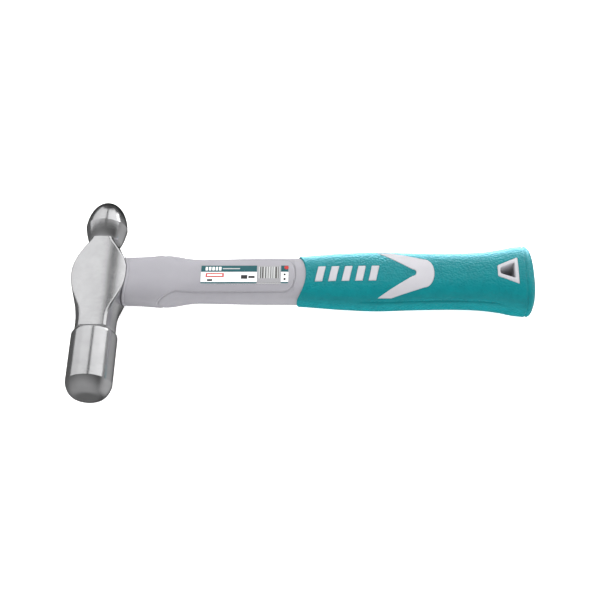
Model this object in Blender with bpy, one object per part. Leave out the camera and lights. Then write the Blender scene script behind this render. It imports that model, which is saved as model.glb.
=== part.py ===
"""Ball peen hammer with an overmoulded fibreglass handle, lying on its side.

+X runs along the handle from the head to the butt, +Y along the head from the poll to the ball peen,
and +Z is up. The head lies on the side of its poll and the grip on its butt flare. The origin is the
middle of the bounding box's underside. Everything is designed around the eye's centre, where the
handle's axis crosses the head's axis, and one empty then carries it all to that origin.
"""
import math

import bmesh
import bpy
from mathutils import Vector

MM = 0.001
GAP = 0.3 * MM                     # clearance between pieces that touch

# Head, along +Y from the eye's centre (negative is the poll's side)
POLL_RADIUS = 13.5 * MM
POLL_START = -38.6 * MM            # where the poll reaches its full radius
SHOULDER_Y = -36.6 * MM            # the poll's rounded shoulder, beside the groove
SHOULDER_RADIUS = 12.9 * MM
GROOVE_Y = -35.4 * MM
NECK_RADIUS = 12.1 * MM
NECK_DEPTH = 15.0 * MM             # of the neck before its cheeks are ground
NECK_SQUARENESS = 1.7
NECK_END = -31.0 * MM
CROWN_START = -68.0 * MM           # where the poll turns in to its rounded striking end
CROWN_SWEEP = math.radians(70.0)
CROWN_FULLNESS = 0.8
FACE_Y = -76.6 * MM
FACE_FLAT_RADIUS = 5.0 * MM        # flat middle of the crowned striking face
EYE_WIDTH_Y = 1.8 * MM             # where the body is widest
BODY_HALF_WIDTH = 16.6 * MM
BODY_HALF_DEPTH = 17.4 * MM        # of the forging before its cheeks are ground
BODY_SQUARENESS = 4.5              # superellipse exponent of the section at the eye
POLL_SIDE_POWER = 1.25             # how sharply the body narrows to the neck
BALL_SIDE_POWER = 0.7              # how sharply the body narrows to the waist
CHEEK_HEIGHT = 10.9 * MM           # of a ground cheek above the head's axis
CHEEK_CURVE = 62.0 * MM            # radius of the cheek's gentle crown
CHEEK_END_Y = 25.7 * MM            # the body's last section, just before the waist
WAIST_Y = 26.2 * MM
WAIST_RADIUS = 8.7 * MM
WAIST_DEPTH = 13.5 * MM            # of the waist before its cheeks are ground
WAIST_SQUARENESS = 1.8
CONE_FULLNESS = 0.52
BALL_Y = 37.3 * MM                 # the crisp edge where the ball's dome starts
BALL_RADIUS = 12.6 * MM
BALL_TIP_Y = 55.4 * MM
BALL_POINTEDNESS = 2.1             # 2 is an ellipsoid, less is more pointed
BALL_CUT = 0.15                    # share of the dome's curve left out below its edge

# Eye, core and resin: half sizes in Y and Z
OVAL_ROUNDNESS = 2.3
CORE_HALF = (7.8 * MM, 4.9 * MM)
CORE_START = -13.6 * MM
CORE_END = 226.0 * MM
RESIN_WALL = 0.9 * MM
RESIN_RECESS = 0.4 * MM            # of the resin's outer face below the head's flank
RESIN_END = 14.6 * MM

# Handle sections: place along X, half height in Y, half thickness in Z
NECK_OUTLINE = [
    (16.0 * MM, 14.7 * MM, 8.35 * MM),
    (27.0 * MM, 15.3 * MM, 8.75 * MM),
    (35.0 * MM, 16.0 * MM, 9.1 * MM),
    (41.0 * MM, 16.35 * MM, 9.3 * MM),
    (46.0 * MM, 15.8 * MM, 8.9 * MM),
    (53.0 * MM, 14.5 * MM, 8.25 * MM),
    (60.0 * MM, 13.9 * MM, 8.05 * MM),
    (90.0 * MM, 14.6 * MM, 8.05 * MM),
    (124.0 * MM, 14.75 * MM, 8.15 * MM),
]
GRIP_OUTLINE = [
    (112.0 * MM, 15.0 * MM, 8.75 * MM),
    (128.0 * MM, 16.2 * MM, 9.15 * MM),
    (145.0 * MM, 17.85 * MM, 9.65 * MM),
    (164.0 * MM, 18.8 * MM, 10.15 * MM),
    (185.0 * MM, 18.05 * MM, 10.5 * MM),
    (207.0 * MM, 17.5 * MM, 10.9 * MM),
    (225.0 * MM, 17.8 * MM, 11.7 * MM),
    (236.0 * MM, 19.0 * MM, 12.7 * MM),
    (245.0 * MM, 21.0 * MM, 13.3 * MM),
    (252.0 * MM, 21.9 * MM, 13.5 * MM),
]
HANDLE_ROUNDNESS = 2.6             # superellipse exponent of the handle's sections
NECK_START = 17.5 * MM             # the section that meets the head's flank
NECK_PLACES = [x * MM for x in (24, 31, 36, 41, 46, 51, 56, 62, 72, 86, 100)]
STEP_X = 120.0 * MM                # the section where the jacket steps down to its tail
TAIL_PLACES = [x * MM for x in (132, 148, 164, 180, 196, 212, 225, 236, 245, 252)]
GRIP_PLACES = [x * MM for x in (
    112, 120, 128, 135, 142, 149, 156, 163, 170, 178, 186, 194, 202, 210, 218, 225, 231, 236, 241, 246, 252,
)]
BUTT_LENGTH = 6.2 * MM             # of the domed end beyond the last grip section
BUTT_ROUNDNESS = 2.5
GRIP_FRONT = 123.1 * MM            # the grip's front edge, at its furthest from the head
GRIP_FRONT_Y = 0.8 * MM            # where that is
GRIP_FRONT_SWEEP = 0.0195 / MM     # the edge's parabola back towards the head at the sides
GRIP_FRONT_REACH = 17.0 * MM       # half height over which the edge is curved
GRIP_WALL = 2.2 * MM
TAIL_LENGTH = 2.0 * MM             # of the jacket's domed end beyond the last grip section

# Raised tongue of the jacket, and the label on it
TONGUE_HEIGHT = 0.4 * MM
TONGUE_HALF_WIDTH = 10.5 * MM
TONGUE_TIP = 116.5 * MM
TONGUE_TIP_LENGTH = 6.5 * MM
TONGUE_FLARE_START = 34.0 * MM
TONGUE_FLARE_END = 46.0 * MM
TONGUE_FLARE_HALF_WIDTH = 17.0 * MM
TONGUE_BODY_END = 117.5 * MM
LABEL_X = (61.1 * MM, 112.8 * MM)
LABEL_HALF_WIDTH = 6.2 * MM
LABEL_THICKNESS = 0.2 * MM

# Inlays of the grip
CHEVRON_TAIL_X = (165.0 * MM, 173.2 * MM)
CHEVRON_TAIL_Y = 15.6 * MM
CHEVRON_INNER_NOSE = (188.0 * MM, 2.2 * MM)
CHEVRON_OUTER_NOSE = (198.8 * MM, 9.7 * MM)
CHEVRON_NOSE_LENGTH = 6.0 * MM
BAR_COUNT = 5
BAR_START = 129.4 * MM
BAR_PITCH = 7.9 * MM
BAR_WIDTH = 4.6 * MM
BAR_HALF_HEIGHT = 5.2 * MM
BAR_SLANT = 1.1 * MM               # how far a bar's end leans from its middle
STRIP_THICKNESS = 0.6 * MM         # of the layer that joins the bars, against the jacket's tail
STRIP_HALF_WIDTH = 3.6 * MM
STRIP_MARGIN = 1.5 * MM            # of the layer beyond the first and the last bar

# Hang hole: a trapezoid, narrow towards the head
LINER_X = (235.4 * MM, 247.6 * MM)
LINER_HALF_WIDTHS = (3.7 * MM, 9.2 * MM)
HOLE_X = (237.1 * MM, 245.4 * MM)
HOLE_HALF_WIDTHS = (1.7 * MM, 5.1 * MM)

HEAD_SEGMENTS = 40
HANDLE_SEGMENTS = 36
CUTTER_REACH = 30.0 * MM


def superellipse(half_a, half_b, exponent, angle):
    """Point of a superellipse at an angle, with half sizes half_a and half_b."""
    cosine = math.cos(angle)
    sine = math.sin(angle)
    first = half_a * math.copysign(abs(cosine) ** (2 / exponent), cosine)
    second = half_b * math.copysign(abs(sine) ** (2 / exponent), sine)
    return first, second


def angles(count):
    return [2 * math.pi * (index + 0.5) / count for index in range(count)]


def spread(start, end, count):
    """Evenly spaced values from start to end, both included."""
    return [start + (end - start) * index / (count - 1) for index in range(count)]


def outline_at(outline, x):
    """Half height and half thickness at x, on a smooth curve through an outline's stations."""
    last = len(outline) - 2
    index = 0
    while index < last and x > outline[index + 1][0]:
        index += 1
    before = outline[max(index - 1, 0)]
    start = outline[index]
    end = outline[index + 1]
    after = outline[min(index + 2, len(outline) - 1)]
    span = end[0] - start[0]
    t = (x - start[0]) / span
    sizes = []
    for axis in (1, 2):
        slope_in = (end[axis] - before[axis]) / (end[0] - before[0]) * span
        slope_out = (after[axis] - start[axis]) / (after[0] - start[0]) * span
        sizes.append(
            start[axis] * (2 * t**3 - 3 * t**2 + 1)
            + slope_in * (t**3 - 2 * t**2 + t)
            + end[axis] * (3 * t**2 - 2 * t**3)
            + slope_out * (t**3 - t**2)
        )
    return sizes


def new_object(name, mesh_builder):
    """Object whose mesh is filled by mesh_builder(bm), with its faces turned outwards."""
    bm = bmesh.new()
    mesh_builder(bm)
    bmesh.ops.recalc_face_normals(bm, faces=bm.faces)
    mesh = bpy.data.meshes.new(name)
    bm.to_mesh(mesh)
    bm.free()
    item = bpy.data.objects.new(name, mesh)
    bpy.context.collection.objects.link(item)
    item.parent = hammer_axis
    return item


def bridge(bm, first, second):
    """Quads between two rings of as many vertices."""
    count = len(first)
    for index in range(count):
        following = (index + 1) % count
        bm.faces.new((first[index], first[following], second[following], second[index]))


def cap(bm, ring, centre):
    """Fan of triangles that closes a ring onto one point."""
    middle = bm.verts.new(centre)
    for index, vertex in enumerate(ring):
        bm.faces.new((vertex, ring[(index + 1) % len(ring)], middle))


def add_rings(bm, rings):
    """Vertices of each ring, with quads from each ring to the next."""
    made = [[bm.verts.new(point) for point in ring] for ring in rings]
    for first, second in zip(made, made[1:]):
        bridge(bm, first, second)
    return made


def centre_of(ring):
    return sum((Vector(point) for point in ring), Vector()) / len(ring)


def loft(name, rings):
    """Closed solid through the rings, with a fan on each end."""
    def build(bm):
        made = add_rings(bm, rings)
        cap(bm, made[0], centre_of(rings[0]))
        cap(bm, made[-1], centre_of(rings[-1]))
    return new_object(name, build)


def prisms(name, outlines, low, high):
    """Object with a separate prism on each XY outline, from height low to height high."""
    def build(bm):
        for outline in outlines:
            floor = [bm.verts.new((x, y, low)) for x, y in outline]
            roof = [bm.verts.new((x, y, high)) for x, y in outline]
            bridge(bm, floor, roof)
            bm.faces.new(floor)
            bm.faces.new(roof)
    return new_object(name, build)


def prism(name, outline, low, high):
    return prisms(name, [outline], low, high)


def hide_tool(item):
    """Mark a cutter, which shapes the pieces and isn't one itself."""
    item.hide_render = True
    item.display_type = 'WIRE'
    return item


def boolean(item, tool, operation):
    modifier = item.modifiers.new(f"{operation.lower()}_{tool.name}", 'BOOLEAN')
    modifier.operation = operation
    modifier.object = tool
    modifier.solver = 'EXACT'


def finish(item, material, smooth_angle=35.0):
    item.data.materials.append(material)
    item.data.shade_smooth()
    item.data.set_sharp_from_angle(angle=math.radians(smooth_angle))


def make_material(name, colour, roughness, metallic=0.0):
    material = bpy.data.materials.new(name)
    material.use_nodes = True
    shader = material.node_tree.nodes["Principled BSDF"]
    shader.inputs["Base Color"].default_value = (*colour, 1.0)
    shader.inputs["Roughness"].default_value = roughness
    shader.inputs["Metallic"].default_value = metallic
    return material


# ---------------------------------------------------------------- head

def body_section(y):
    """Half width in X, half depth in Z and exponent of the forged body at y."""
    if y < EYE_WIDTH_Y:
        reach = (EYE_WIDTH_Y - y) / (EYE_WIDTH_Y - NECK_END)
        power = POLL_SIDE_POWER
        end = (NECK_RADIUS, NECK_DEPTH, NECK_SQUARENESS)
    else:
        reach = (y - EYE_WIDTH_Y) / (WAIST_Y - EYE_WIDTH_Y)
        power = BALL_SIDE_POWER
        end = (WAIST_RADIUS, WAIST_DEPTH, WAIST_SQUARENESS)
    swell = ((1 + math.cos(math.pi * min(reach, 1.0))) / 2) ** power
    middle = (BODY_HALF_WIDTH, BODY_HALF_DEPTH, BODY_SQUARENESS)
    return [first + (second - first) * swell for first, second in zip(end, middle)]


def flank_x(y, z):
    """Distance of the head's flank from its axis plane, where the handle's end meets it."""
    half_width, half_depth, exponent = body_section(y)
    return half_width * (1 - min(abs(z) / half_depth, 0.99) ** exponent) ** (1 / exponent)


def round_section(y, radius):
    return y, radius, radius, 2.0


def poll_sections():
    """The rounded striking end, the poll, and the groove beside it."""
    sections = []
    for turn in spread(0.0, 1.0, 9):
        angle = turn * CROWN_SWEEP
        y = FACE_Y + (CROWN_START - FACE_Y) * (1 - math.cos(angle)) / (1 - math.cos(CROWN_SWEEP))
        swell = (math.sin(angle) / math.sin(CROWN_SWEEP)) ** CROWN_FULLNESS
        sections.append(round_section(y, FACE_FLAT_RADIUS + (POLL_RADIUS - FACE_FLAT_RADIUS) * swell))
    sections.append(round_section(POLL_START, POLL_RADIUS))
    sections.append(round_section((POLL_START + SHOULDER_Y) / 2, (2 * POLL_RADIUS + SHOULDER_RADIUS) / 3))
    sections.append(round_section(SHOULDER_Y, SHOULDER_RADIUS))
    sections.append(round_section(GROOVE_Y, NECK_RADIUS))
    return sections


def body_sections():
    return [(y, *body_section(y)) for y in spread(NECK_END, CHEEK_END_Y, 17)]


def ball_sections():
    """The waist, the cone that widens from it, and the ball's dome."""
    sections = []
    for turn in spread(0.0, 1.0, 6):
        radius = WAIST_RADIUS + (BALL_RADIUS - WAIST_RADIUS) * turn ** CONE_FULLNESS
        sections.append(round_section(WAIST_Y + (BALL_Y - WAIST_Y) * turn, radius))
    full = (1 - BALL_CUT ** BALL_POINTEDNESS) ** (1 / BALL_POINTEDNESS)
    first = math.asin(BALL_CUT)
    for turn in spread(0.1, 0.93, 9):
        reach = math.sin(first + (math.pi / 2 - first) * turn)
        y = BALL_Y + (BALL_TIP_Y - BALL_Y) * (reach - BALL_CUT) / (1 - BALL_CUT)
        radius = BALL_RADIUS / full * (1 - reach ** BALL_POINTEDNESS) ** (1 / BALL_POINTEDNESS)
        sections.append(round_section(y, radius))
    return sections


def head_ring(section):
    y, half_width, half_depth, exponent = section
    ring = []
    for angle in angles(HEAD_SEGMENTS):
        x, z = superellipse(half_width, half_depth, exponent, angle)
        ring.append((x, y, z))
    return ring


def head_blank():
    """The forging before grinding, from the striking face to the ball's tip."""
    rings = [head_ring(section) for section in poll_sections() + body_sections() + ball_sections()]

    def build(bm):
        made = add_rings(bm, rings)
        cap(bm, made[0], (0, FACE_Y, 0))
        cap(bm, made[-1], (0, BALL_TIP_Y, 0))
    return new_object("hammer_head", build)


def cheek_grinder(side):
    """Block above one cheek, whose underside is the cheek's crowned surface."""
    end = WAIST_Y + 1.0 * MM
    rings = []
    for x in spread(-24 * MM, 24 * MM, 13):
        surface = CHEEK_HEIGHT - x * x / (2 * CHEEK_CURVE)
        rings.append([
            (x, SHOULDER_Y, side * surface),
            (x, end, side * surface),
            (x, end, side * CUTTER_REACH),
            (x, SHOULDER_Y, side * CUTTER_REACH),
        ])
    return hide_tool(loft(f"cheek_grinder_{'front' if side > 0 else 'back'}", rings))


def oval_ring(x, half_y, half_z, count=28):
    ring = []
    for angle in angles(count):
        y, z = superellipse(half_y, half_z, OVAL_ROUNDNESS, angle)
        ring.append((x, y, z))
    return ring


def build_head(material):
    head = head_blank()
    resin_space = GAP + RESIN_WALL + GAP
    eye_half = [half + resin_space for half in CORE_HALF]
    eye = hide_tool(loft("eye_cutter", [oval_ring(x, *eye_half) for x in (-CUTTER_REACH, CUTTER_REACH)]))
    for side in (1, -1):
        boolean(head, cheek_grinder(side), 'DIFFERENCE')
    boolean(head, eye, 'DIFFERENCE')
    finish(head, material)


def build_core(material):
    rings = [oval_ring(x, *CORE_HALF) for x in spread(CORE_START, CORE_END, 4)]
    finish(loft("fibreglass_core", rings), material)


def build_resin(material):
    """Cup of cast resin: a sleeve around the core, closed over the core's outer end."""
    inner = [half + GAP for half in CORE_HALF]
    outer = [half + RESIN_WALL for half in inner]

    def outer_face(share):
        ring = oval_ring(0.0, outer[0] * share, outer[1] * share)
        return [(RESIN_RECESS - flank_x(y, z), y, z) for x, y, z in ring]

    def build(bm):
        rings = [
            outer_face(0.5),
            outer_face(1.0),
            oval_ring(RESIN_END, *outer),
            oval_ring(RESIN_END, *inner),
            oval_ring(CORE_START - GAP, *inner),
        ]
        made = add_rings(bm, rings)
        cap(bm, made[0], (RESIN_RECESS - flank_x(0, 0), 0, 0))
        cap(bm, made[-1], (CORE_START - GAP, 0, 0))
    finish(new_object("eye_epoxy", build), material)


# ---------------------------------------------------------------- handle

def handle_ring(half_height, half_thickness, place):
    """Ring of the handle's section; place(y, z) gives each point's x."""
    ring = []
    for angle in angles(HANDLE_SEGMENTS):
        y, z = superellipse(half_height, half_thickness, HANDLE_ROUNDNESS, angle)
        ring.append((place(y, z), y, z))
    return ring


def section_ring(outline, x, grow=0.0):
    half_height, half_thickness = outline_at(outline, x)
    return handle_ring(half_height + grow, half_thickness + grow, lambda y, z: x)


def grip_front(y):
    """The x of the grip's front edge at y."""
    return GRIP_FRONT - GRIP_FRONT_SWEEP * (y - GRIP_FRONT_Y) ** 2


def head_end(y, z):
    """The x of the jacket's end, which follows the head's flank."""
    return flank_x(y, z) + GAP


def domed_rings(outline, grow, length, exponent, steps):
    """Rings of a domed end beyond the outline's last section."""
    x_start = outline[-1][0]
    half_height, half_thickness = outline[-1][1:]
    rings = []
    for step in range(1, steps + 1):
        angle = step / (steps + 0.6) * math.pi / 2
        shrink = math.cos(angle) ** (2 / exponent)
        x = x_start + length * math.sin(angle) ** (2 / exponent)
        rings.append(handle_ring((half_height + grow) * shrink, (half_thickness + grow) * shrink,
                                 lambda y, z, x=x: x))
    return rings


def neck_rings(grow, x_end):
    """Neck sections from the head's flank, the first one shaped to the flank."""
    half_height, half_thickness = outline_at(NECK_OUTLINE, NECK_START)
    first = handle_ring(half_height + grow, half_thickness + grow, head_end)
    return [first] + [section_ring(NECK_OUTLINE, x, grow) for x in NECK_PLACES + [x_end]]


def solid_neck_rings(grow, x_end):
    """Neck sections of a solid with no bore, whose whole end follows the head's flank."""
    rings = neck_rings(grow, x_end)
    end = []
    for share in (0.1, 0.4, 0.7):
        ring = []
        for x, y, z in rings[0]:
            ring.append((head_end(share * y, share * z), share * y, share * z))
        end.append(ring)
    return end + rings


def tail_rings(grow, places):
    """Sections of the jacket's tail, which is the grip's outline less the grip's wall."""
    return [section_ring(GRIP_OUTLINE, x, grow - GRIP_WALL) for x in places]


def tongue_outline():
    """XY outline of the jacket's raised part: the whole collar, then a tongue down the neck."""
    side = [(10 * MM, CUTTER_REACH), (TONGUE_FLARE_START, CUTTER_REACH)]
    for turn in spread(0.0, 1.0, 7):
        angle = turn * math.pi / 2
        x = TONGUE_FLARE_START + (TONGUE_FLARE_END - TONGUE_FLARE_START) * math.sin(angle) ** 1.3
        y = TONGUE_HALF_WIDTH + (TONGUE_FLARE_HALF_WIDTH - TONGUE_HALF_WIDTH) * (1 - math.sin(angle))
        side.append((x, y))
    for turn in spread(0.0, 0.9, 6):
        angle = turn * math.pi / 2
        x = TONGUE_TIP - TONGUE_TIP_LENGTH * (1 - math.sin(angle))
        side.append((x, TONGUE_HALF_WIDTH * math.cos(angle) ** 0.8))
    tip = [(TONGUE_TIP, 0.0)]
    return side + tip + [(x, -y) for x, y in reversed(side)]


def trapezoid(x_range, half_widths, grow=0.0):
    """Trapezoid outline, narrow end first, each side moved out by grow."""
    x_narrow, x_wide = x_range
    slope = (half_widths[1] - half_widths[0]) / (x_wide - x_narrow)
    slant = grow * math.hypot(1, slope)
    narrow = half_widths[0] - slope * grow + slant
    wide = half_widths[1] + slope * grow + slant
    return [
        (x_narrow - grow, -narrow),
        (x_wide + grow, -wide),
        (x_wide + grow, wide),
        (x_narrow - grow, narrow),
    ]


def build_jacket(material):
    """Hard jacket: collar and neck, a step down at the grip's edge, and a tail under the grip."""
    bore_half = [half + GAP for half in CORE_HALF]

    def edge(y, z):
        return grip_front(y) - GAP

    def bore_ring(place):
        ring = []
        for angle in angles(HANDLE_SEGMENTS):
            y, z = superellipse(*bore_half, OVAL_ROUNDNESS, angle)
            ring.append((place(y, z), y, z))
        return ring

    def blended(first, second, share):
        """Ring between two rings, following the head's flank."""
        ring = []
        for start, end in zip(first, second):
            point = Vector(start).lerp(Vector(end), share)
            ring.append((head_end(point.y, point.z), point.y, point.z))
        return ring

    neck = neck_rings(0.0, 110 * MM)
    neck_end = handle_ring(*outline_at(NECK_OUTLINE, STEP_X), edge)
    tail_start = handle_ring(*[half - GRIP_WALL for half in outline_at(GRIP_OUTLINE, STEP_X)], edge)
    outer = neck + [neck_end, tail_start] + tail_rings(0.0, TAIL_PLACES)
    outer += domed_rings(GRIP_OUTLINE, -GRIP_WALL, TAIL_LENGTH, BUTT_ROUNDNESS, 3)
    mouth = bore_ring(head_end)
    bore = [mouth, bore_ring(lambda y, z: CORE_END + GAP)]

    def build(bm):
        rings = list(reversed(outer)) + [blended(neck[0], mouth, 0.5)] + bore
        made = add_rings(bm, rings)
        cap(bm, made[0], centre_of(rings[0]))
        cap(bm, made[-1], centre_of(rings[-1]))

    jacket = new_object("handle_jacket", build)
    raised = hide_tool(loft("tongue_body", solid_neck_rings(TONGUE_HEIGHT, TONGUE_BODY_END)))
    outline = hide_tool(prism("tongue_outline", tongue_outline(), -CUTTER_REACH, CUTTER_REACH))
    boolean(raised, outline, 'INTERSECT')
    boolean(raised, bore_tool(), 'DIFFERENCE')
    hole = hide_tool(prism("tail_hole_cutter", trapezoid(LINER_X, LINER_HALF_WIDTHS, GAP),
                           -CUTTER_REACH, CUTTER_REACH))
    boolean(jacket, raised, 'UNION')
    boolean(jacket, hole, 'DIFFERENCE')
    finish(jacket, material)


def bore_tool():
    """The core's space in the handle, plus its clearance."""
    half = [half + GAP for half in CORE_HALF]
    return hide_tool(loft("bore_cutter", [oval_ring(x, *half, HANDLE_SEGMENTS) for x in (0.0, STEP_X)]))


def outer_grip_rings():
    rings = [section_ring(GRIP_OUTLINE, x) for x in GRIP_PLACES]
    return rings + domed_rings(GRIP_OUTLINE, 0.0, BUTT_LENGTH, BUTT_ROUNDNESS, 6)


def front_cutter():
    """Everything on the head's side of the grip's curved front edge."""
    edge = [(grip_front(y), y) for y in spread(-GRIP_FRONT_REACH, GRIP_FRONT_REACH, 17)]
    start = NECK_PLACES[-1]
    outline = [(start, -CUTTER_REACH), (edge[0][0], -CUTTER_REACH)] + edge
    outline += [(edge[-1][0], CUTTER_REACH), (start, CUTTER_REACH)]
    return hide_tool(prism("grip_front_cutter", outline, -CUTTER_REACH, CUTTER_REACH))


def cavity_rings():
    """Space inside the grip: the jacket's tail plus its clearance."""
    rings = tail_rings(GAP, [GRIP_PLACES[0], STEP_X] + TAIL_PLACES)
    return rings + domed_rings(GRIP_OUTLINE, GAP - GRIP_WALL, TAIL_LENGTH + GAP, BUTT_ROUNDNESS, 3)


def chevron_outline(shrink):
    """Arrow shape with its nose towards the butt; shrink pulls every edge in."""
    inner_x, inner_y = CHEVRON_INNER_NOSE
    outer_x, outer_y = CHEVRON_OUTER_NOSE
    tail_y = CHEVRON_TAIL_Y - shrink
    inner = [(CHEVRON_TAIL_X[0] + 2.0 * shrink, tail_y)]
    outer = [(CHEVRON_TAIL_X[1] - 3.0 * shrink, tail_y)]
    for turn in spread(0.0, 1.0, 4):
        angle = turn * math.pi / 2
        inner.append((inner_x + shrink - inner_y * (1 - math.sin(angle)), inner_y * math.cos(angle)))
    for turn in spread(0.0, 1.0, 7):
        angle = turn * math.pi / 2
        x = outer_x - shrink - CHEVRON_NOSE_LENGTH * (1 - math.sin(angle))
        outer.append((x, (outer_y - shrink) * math.cos(angle)))
    upper = list(reversed(outer)) + inner
    lower = [(x, -y) for x, y in reversed(upper) if y > 1e-6]
    return [point for point in upper if point[1] > 1e-6] + [inner[-1]] + lower + [outer[-1]]


def bar_outlines(grow):
    """Slanted bars in a row along the grip."""
    outlines = []
    for index in range(BAR_COUNT):
        middle = BAR_START + BAR_PITCH * index + BAR_WIDTH / 2
        half = BAR_WIDTH / 2 + grow
        height = BAR_HALF_HEIGHT + grow
        outlines.append([
            (middle - half - BAR_SLANT, -height),
            (middle + half - BAR_SLANT, -height),
            (middle + half + BAR_SLANT, height),
            (middle - half + BAR_SLANT, height),
        ])
    return outlines


def strip_outline(grow):
    half_width = STRIP_HALF_WIDTH + grow
    start = BAR_START - STRIP_MARGIN - grow
    end = BAR_START + BAR_PITCH * (BAR_COUNT - 1) + BAR_WIDTH + STRIP_MARGIN + grow
    return [(start, -half_width), (end, -half_width), (end, half_width), (start, half_width)]


def side_range(side, low, high):
    return sorted((side * low, side * high))


def build_grip_and_inlays(grip_material, inlay_material):
    """Soft grip with its windows, and the inlays that fill them flush."""
    outer = hide_tool(loft("grip_outside", outer_grip_rings()))
    cavity = hide_tool(loft("grip_cavity", cavity_rings()))
    grip = loft("grip_sleeve", outer_grip_rings())
    boolean(grip, front_cutter(), 'DIFFERENCE')
    boolean(grip, cavity, 'DIFFERENCE')
    for side, face in ((1, "front"), (-1, "back")):
        heights = side_range(side, 2.0 * MM, CUTTER_REACH)
        window = hide_tool(prism(f"chevron_window_{face}", chevron_outline(0.0), *heights))
        boolean(grip, window, 'DIFFERENCE')
        slots = hide_tool(prisms(f"bar_slots_{face}", bar_outlines(0.0), *heights))
        boolean(grip, slots, 'DIFFERENCE')
        pocket = hide_tool(strip_solid(f"strip_pocket_{face}", GAP + STRIP_THICKNESS, 0.0, heights))
        boolean(grip, pocket, 'DIFFERENCE')
        build_inlays(face, heights, outer, cavity, inlay_material)
    hole = hide_tool(prism("grip_hole_cutter", trapezoid(LINER_X, LINER_HALF_WIDTHS, 0.0),
                           -CUTTER_REACH, CUTTER_REACH))
    boolean(grip, hole, 'DIFFERENCE')
    finish(grip, grip_material)
    build_liner(outer, inlay_material)


def strip_solid(name, thickness, grow, heights):
    """Backing strip of the bars: a thin layer on the outside of the jacket's tail."""
    strip = prism(name, strip_outline(grow), *heights)
    rings = tail_rings(GAP + thickness, [STEP_X] + TAIL_PLACES[:4])
    layer = hide_tool(loft(f"{name}_layer", rings))
    boolean(strip, layer, 'INTERSECT')
    return strip


def build_inlays(face, heights, outer, cavity, material):
    """The chevron, and the bars with the layer under them that joins them."""
    chevron = prism(f"chevron_inlay_{face}", chevron_outline(GAP), *heights)
    boolean(chevron, outer, 'INTERSECT')
    boolean(chevron, cavity, 'DIFFERENCE')
    finish(chevron, material)
    marks = prisms(f"marking_inlay_{face}", bar_outlines(-GAP), *heights)
    boolean(marks, outer, 'INTERSECT')
    strip = hide_tool(strip_solid(f"strip_{face}", STRIP_THICKNESS, -GAP, heights))
    boolean(marks, strip, 'UNION')
    boolean(marks, cavity, 'DIFFERENCE')
    finish(marks, material)


def build_liner(outer, material):
    """Sleeve of the hang hole, flush with the grip on both faces."""
    liner = prism("hang_hole_liner", trapezoid(LINER_X, LINER_HALF_WIDTHS, -GAP), -CUTTER_REACH, CUTTER_REACH)
    hole = hide_tool(prism("hang_hole_cutter", trapezoid(HOLE_X, HOLE_HALF_WIDTHS),
                           -2 * CUTTER_REACH, 2 * CUTTER_REACH))
    boolean(liner, outer, 'INTERSECT')
    boolean(liner, hole, 'DIFFERENCE')
    finish(liner, material)


def build_label(material):
    """Thin sticker on the tongue's front face."""
    x_start, x_end = LABEL_X
    outline = [(x_start, -LABEL_HALF_WIDTH), (x_end, -LABEL_HALF_WIDTH),
               (x_end, LABEL_HALF_WIDTH), (x_start, LABEL_HALF_WIDTH)]
    label = prism("product_label", outline, 2 * MM, CUTTER_REACH)
    under = TONGUE_HEIGHT + GAP
    above = hide_tool(loft("label_top", solid_neck_rings(under + LABEL_THICKNESS, TONGUE_BODY_END)))
    below = hide_tool(loft("label_bottom", solid_neck_rings(under, TONGUE_BODY_END)))
    boolean(label, above, 'INTERSECT')
    boolean(label, below, 'DIFFERENCE')
    finish(label, material)


for old in list(bpy.data.objects):
    bpy.data.objects.remove(old, do_unlink=True)

hammer_axis = bpy.data.objects.new("hammer_axis", None)
bpy.context.collection.objects.link(hammer_axis)
hammer_axis.location = (
    -(GRIP_OUTLINE[-1][0] + BUTT_LENGTH - BODY_HALF_WIDTH) / 2,
    -(BALL_TIP_Y + FACE_Y) / 2,
    POLL_RADIUS,
)

steel = make_material("forged_steel", (0.58, 0.58, 0.59), 0.28, 1.0)
fibreglass = make_material("fibreglass", (0.72, 0.62, 0.30), 0.5)
resin = make_material("eye_resin", (0.10, 0.10, 0.11), 0.3)
grey_plastic = make_material("grey_plastic", (0.50, 0.49, 0.54), 0.42)
teal_rubber = make_material("teal_rubber", (0.012, 0.29, 0.35), 0.5)
light_plastic = make_material("light_plastic", (0.64, 0.60, 0.68), 0.45)
printed_film = make_material("printed_film", (0.85, 0.86, 0.86), 0.35)

build_head(steel)
build_core(fibreglass)
build_resin(resin)
build_jacket(grey_plastic)
build_grip_and_inlays(teal_rubber, light_plastic)
build_label(printed_film)
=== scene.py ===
"""Looks of the ball peen hammer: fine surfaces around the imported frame, a pale studio and a camera.

Shapes are worked out in the hammer's own axes, like the frame's: the origin is the middle of the eye,
+X runs along the handle to the butt, +Y along the head to the ball and +Z is up. ORIGIN then carries
each point to the row frame. Nine fine pieces stand for CAD nodes; the core and the resin are the
frame's own nodes, painted.
"""
import math

import bmesh
import bpy
import numpy as np
from mathutils import Euler, Matrix, Vector
from mathutils.geometry import delaunay_2d_cdt


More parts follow.
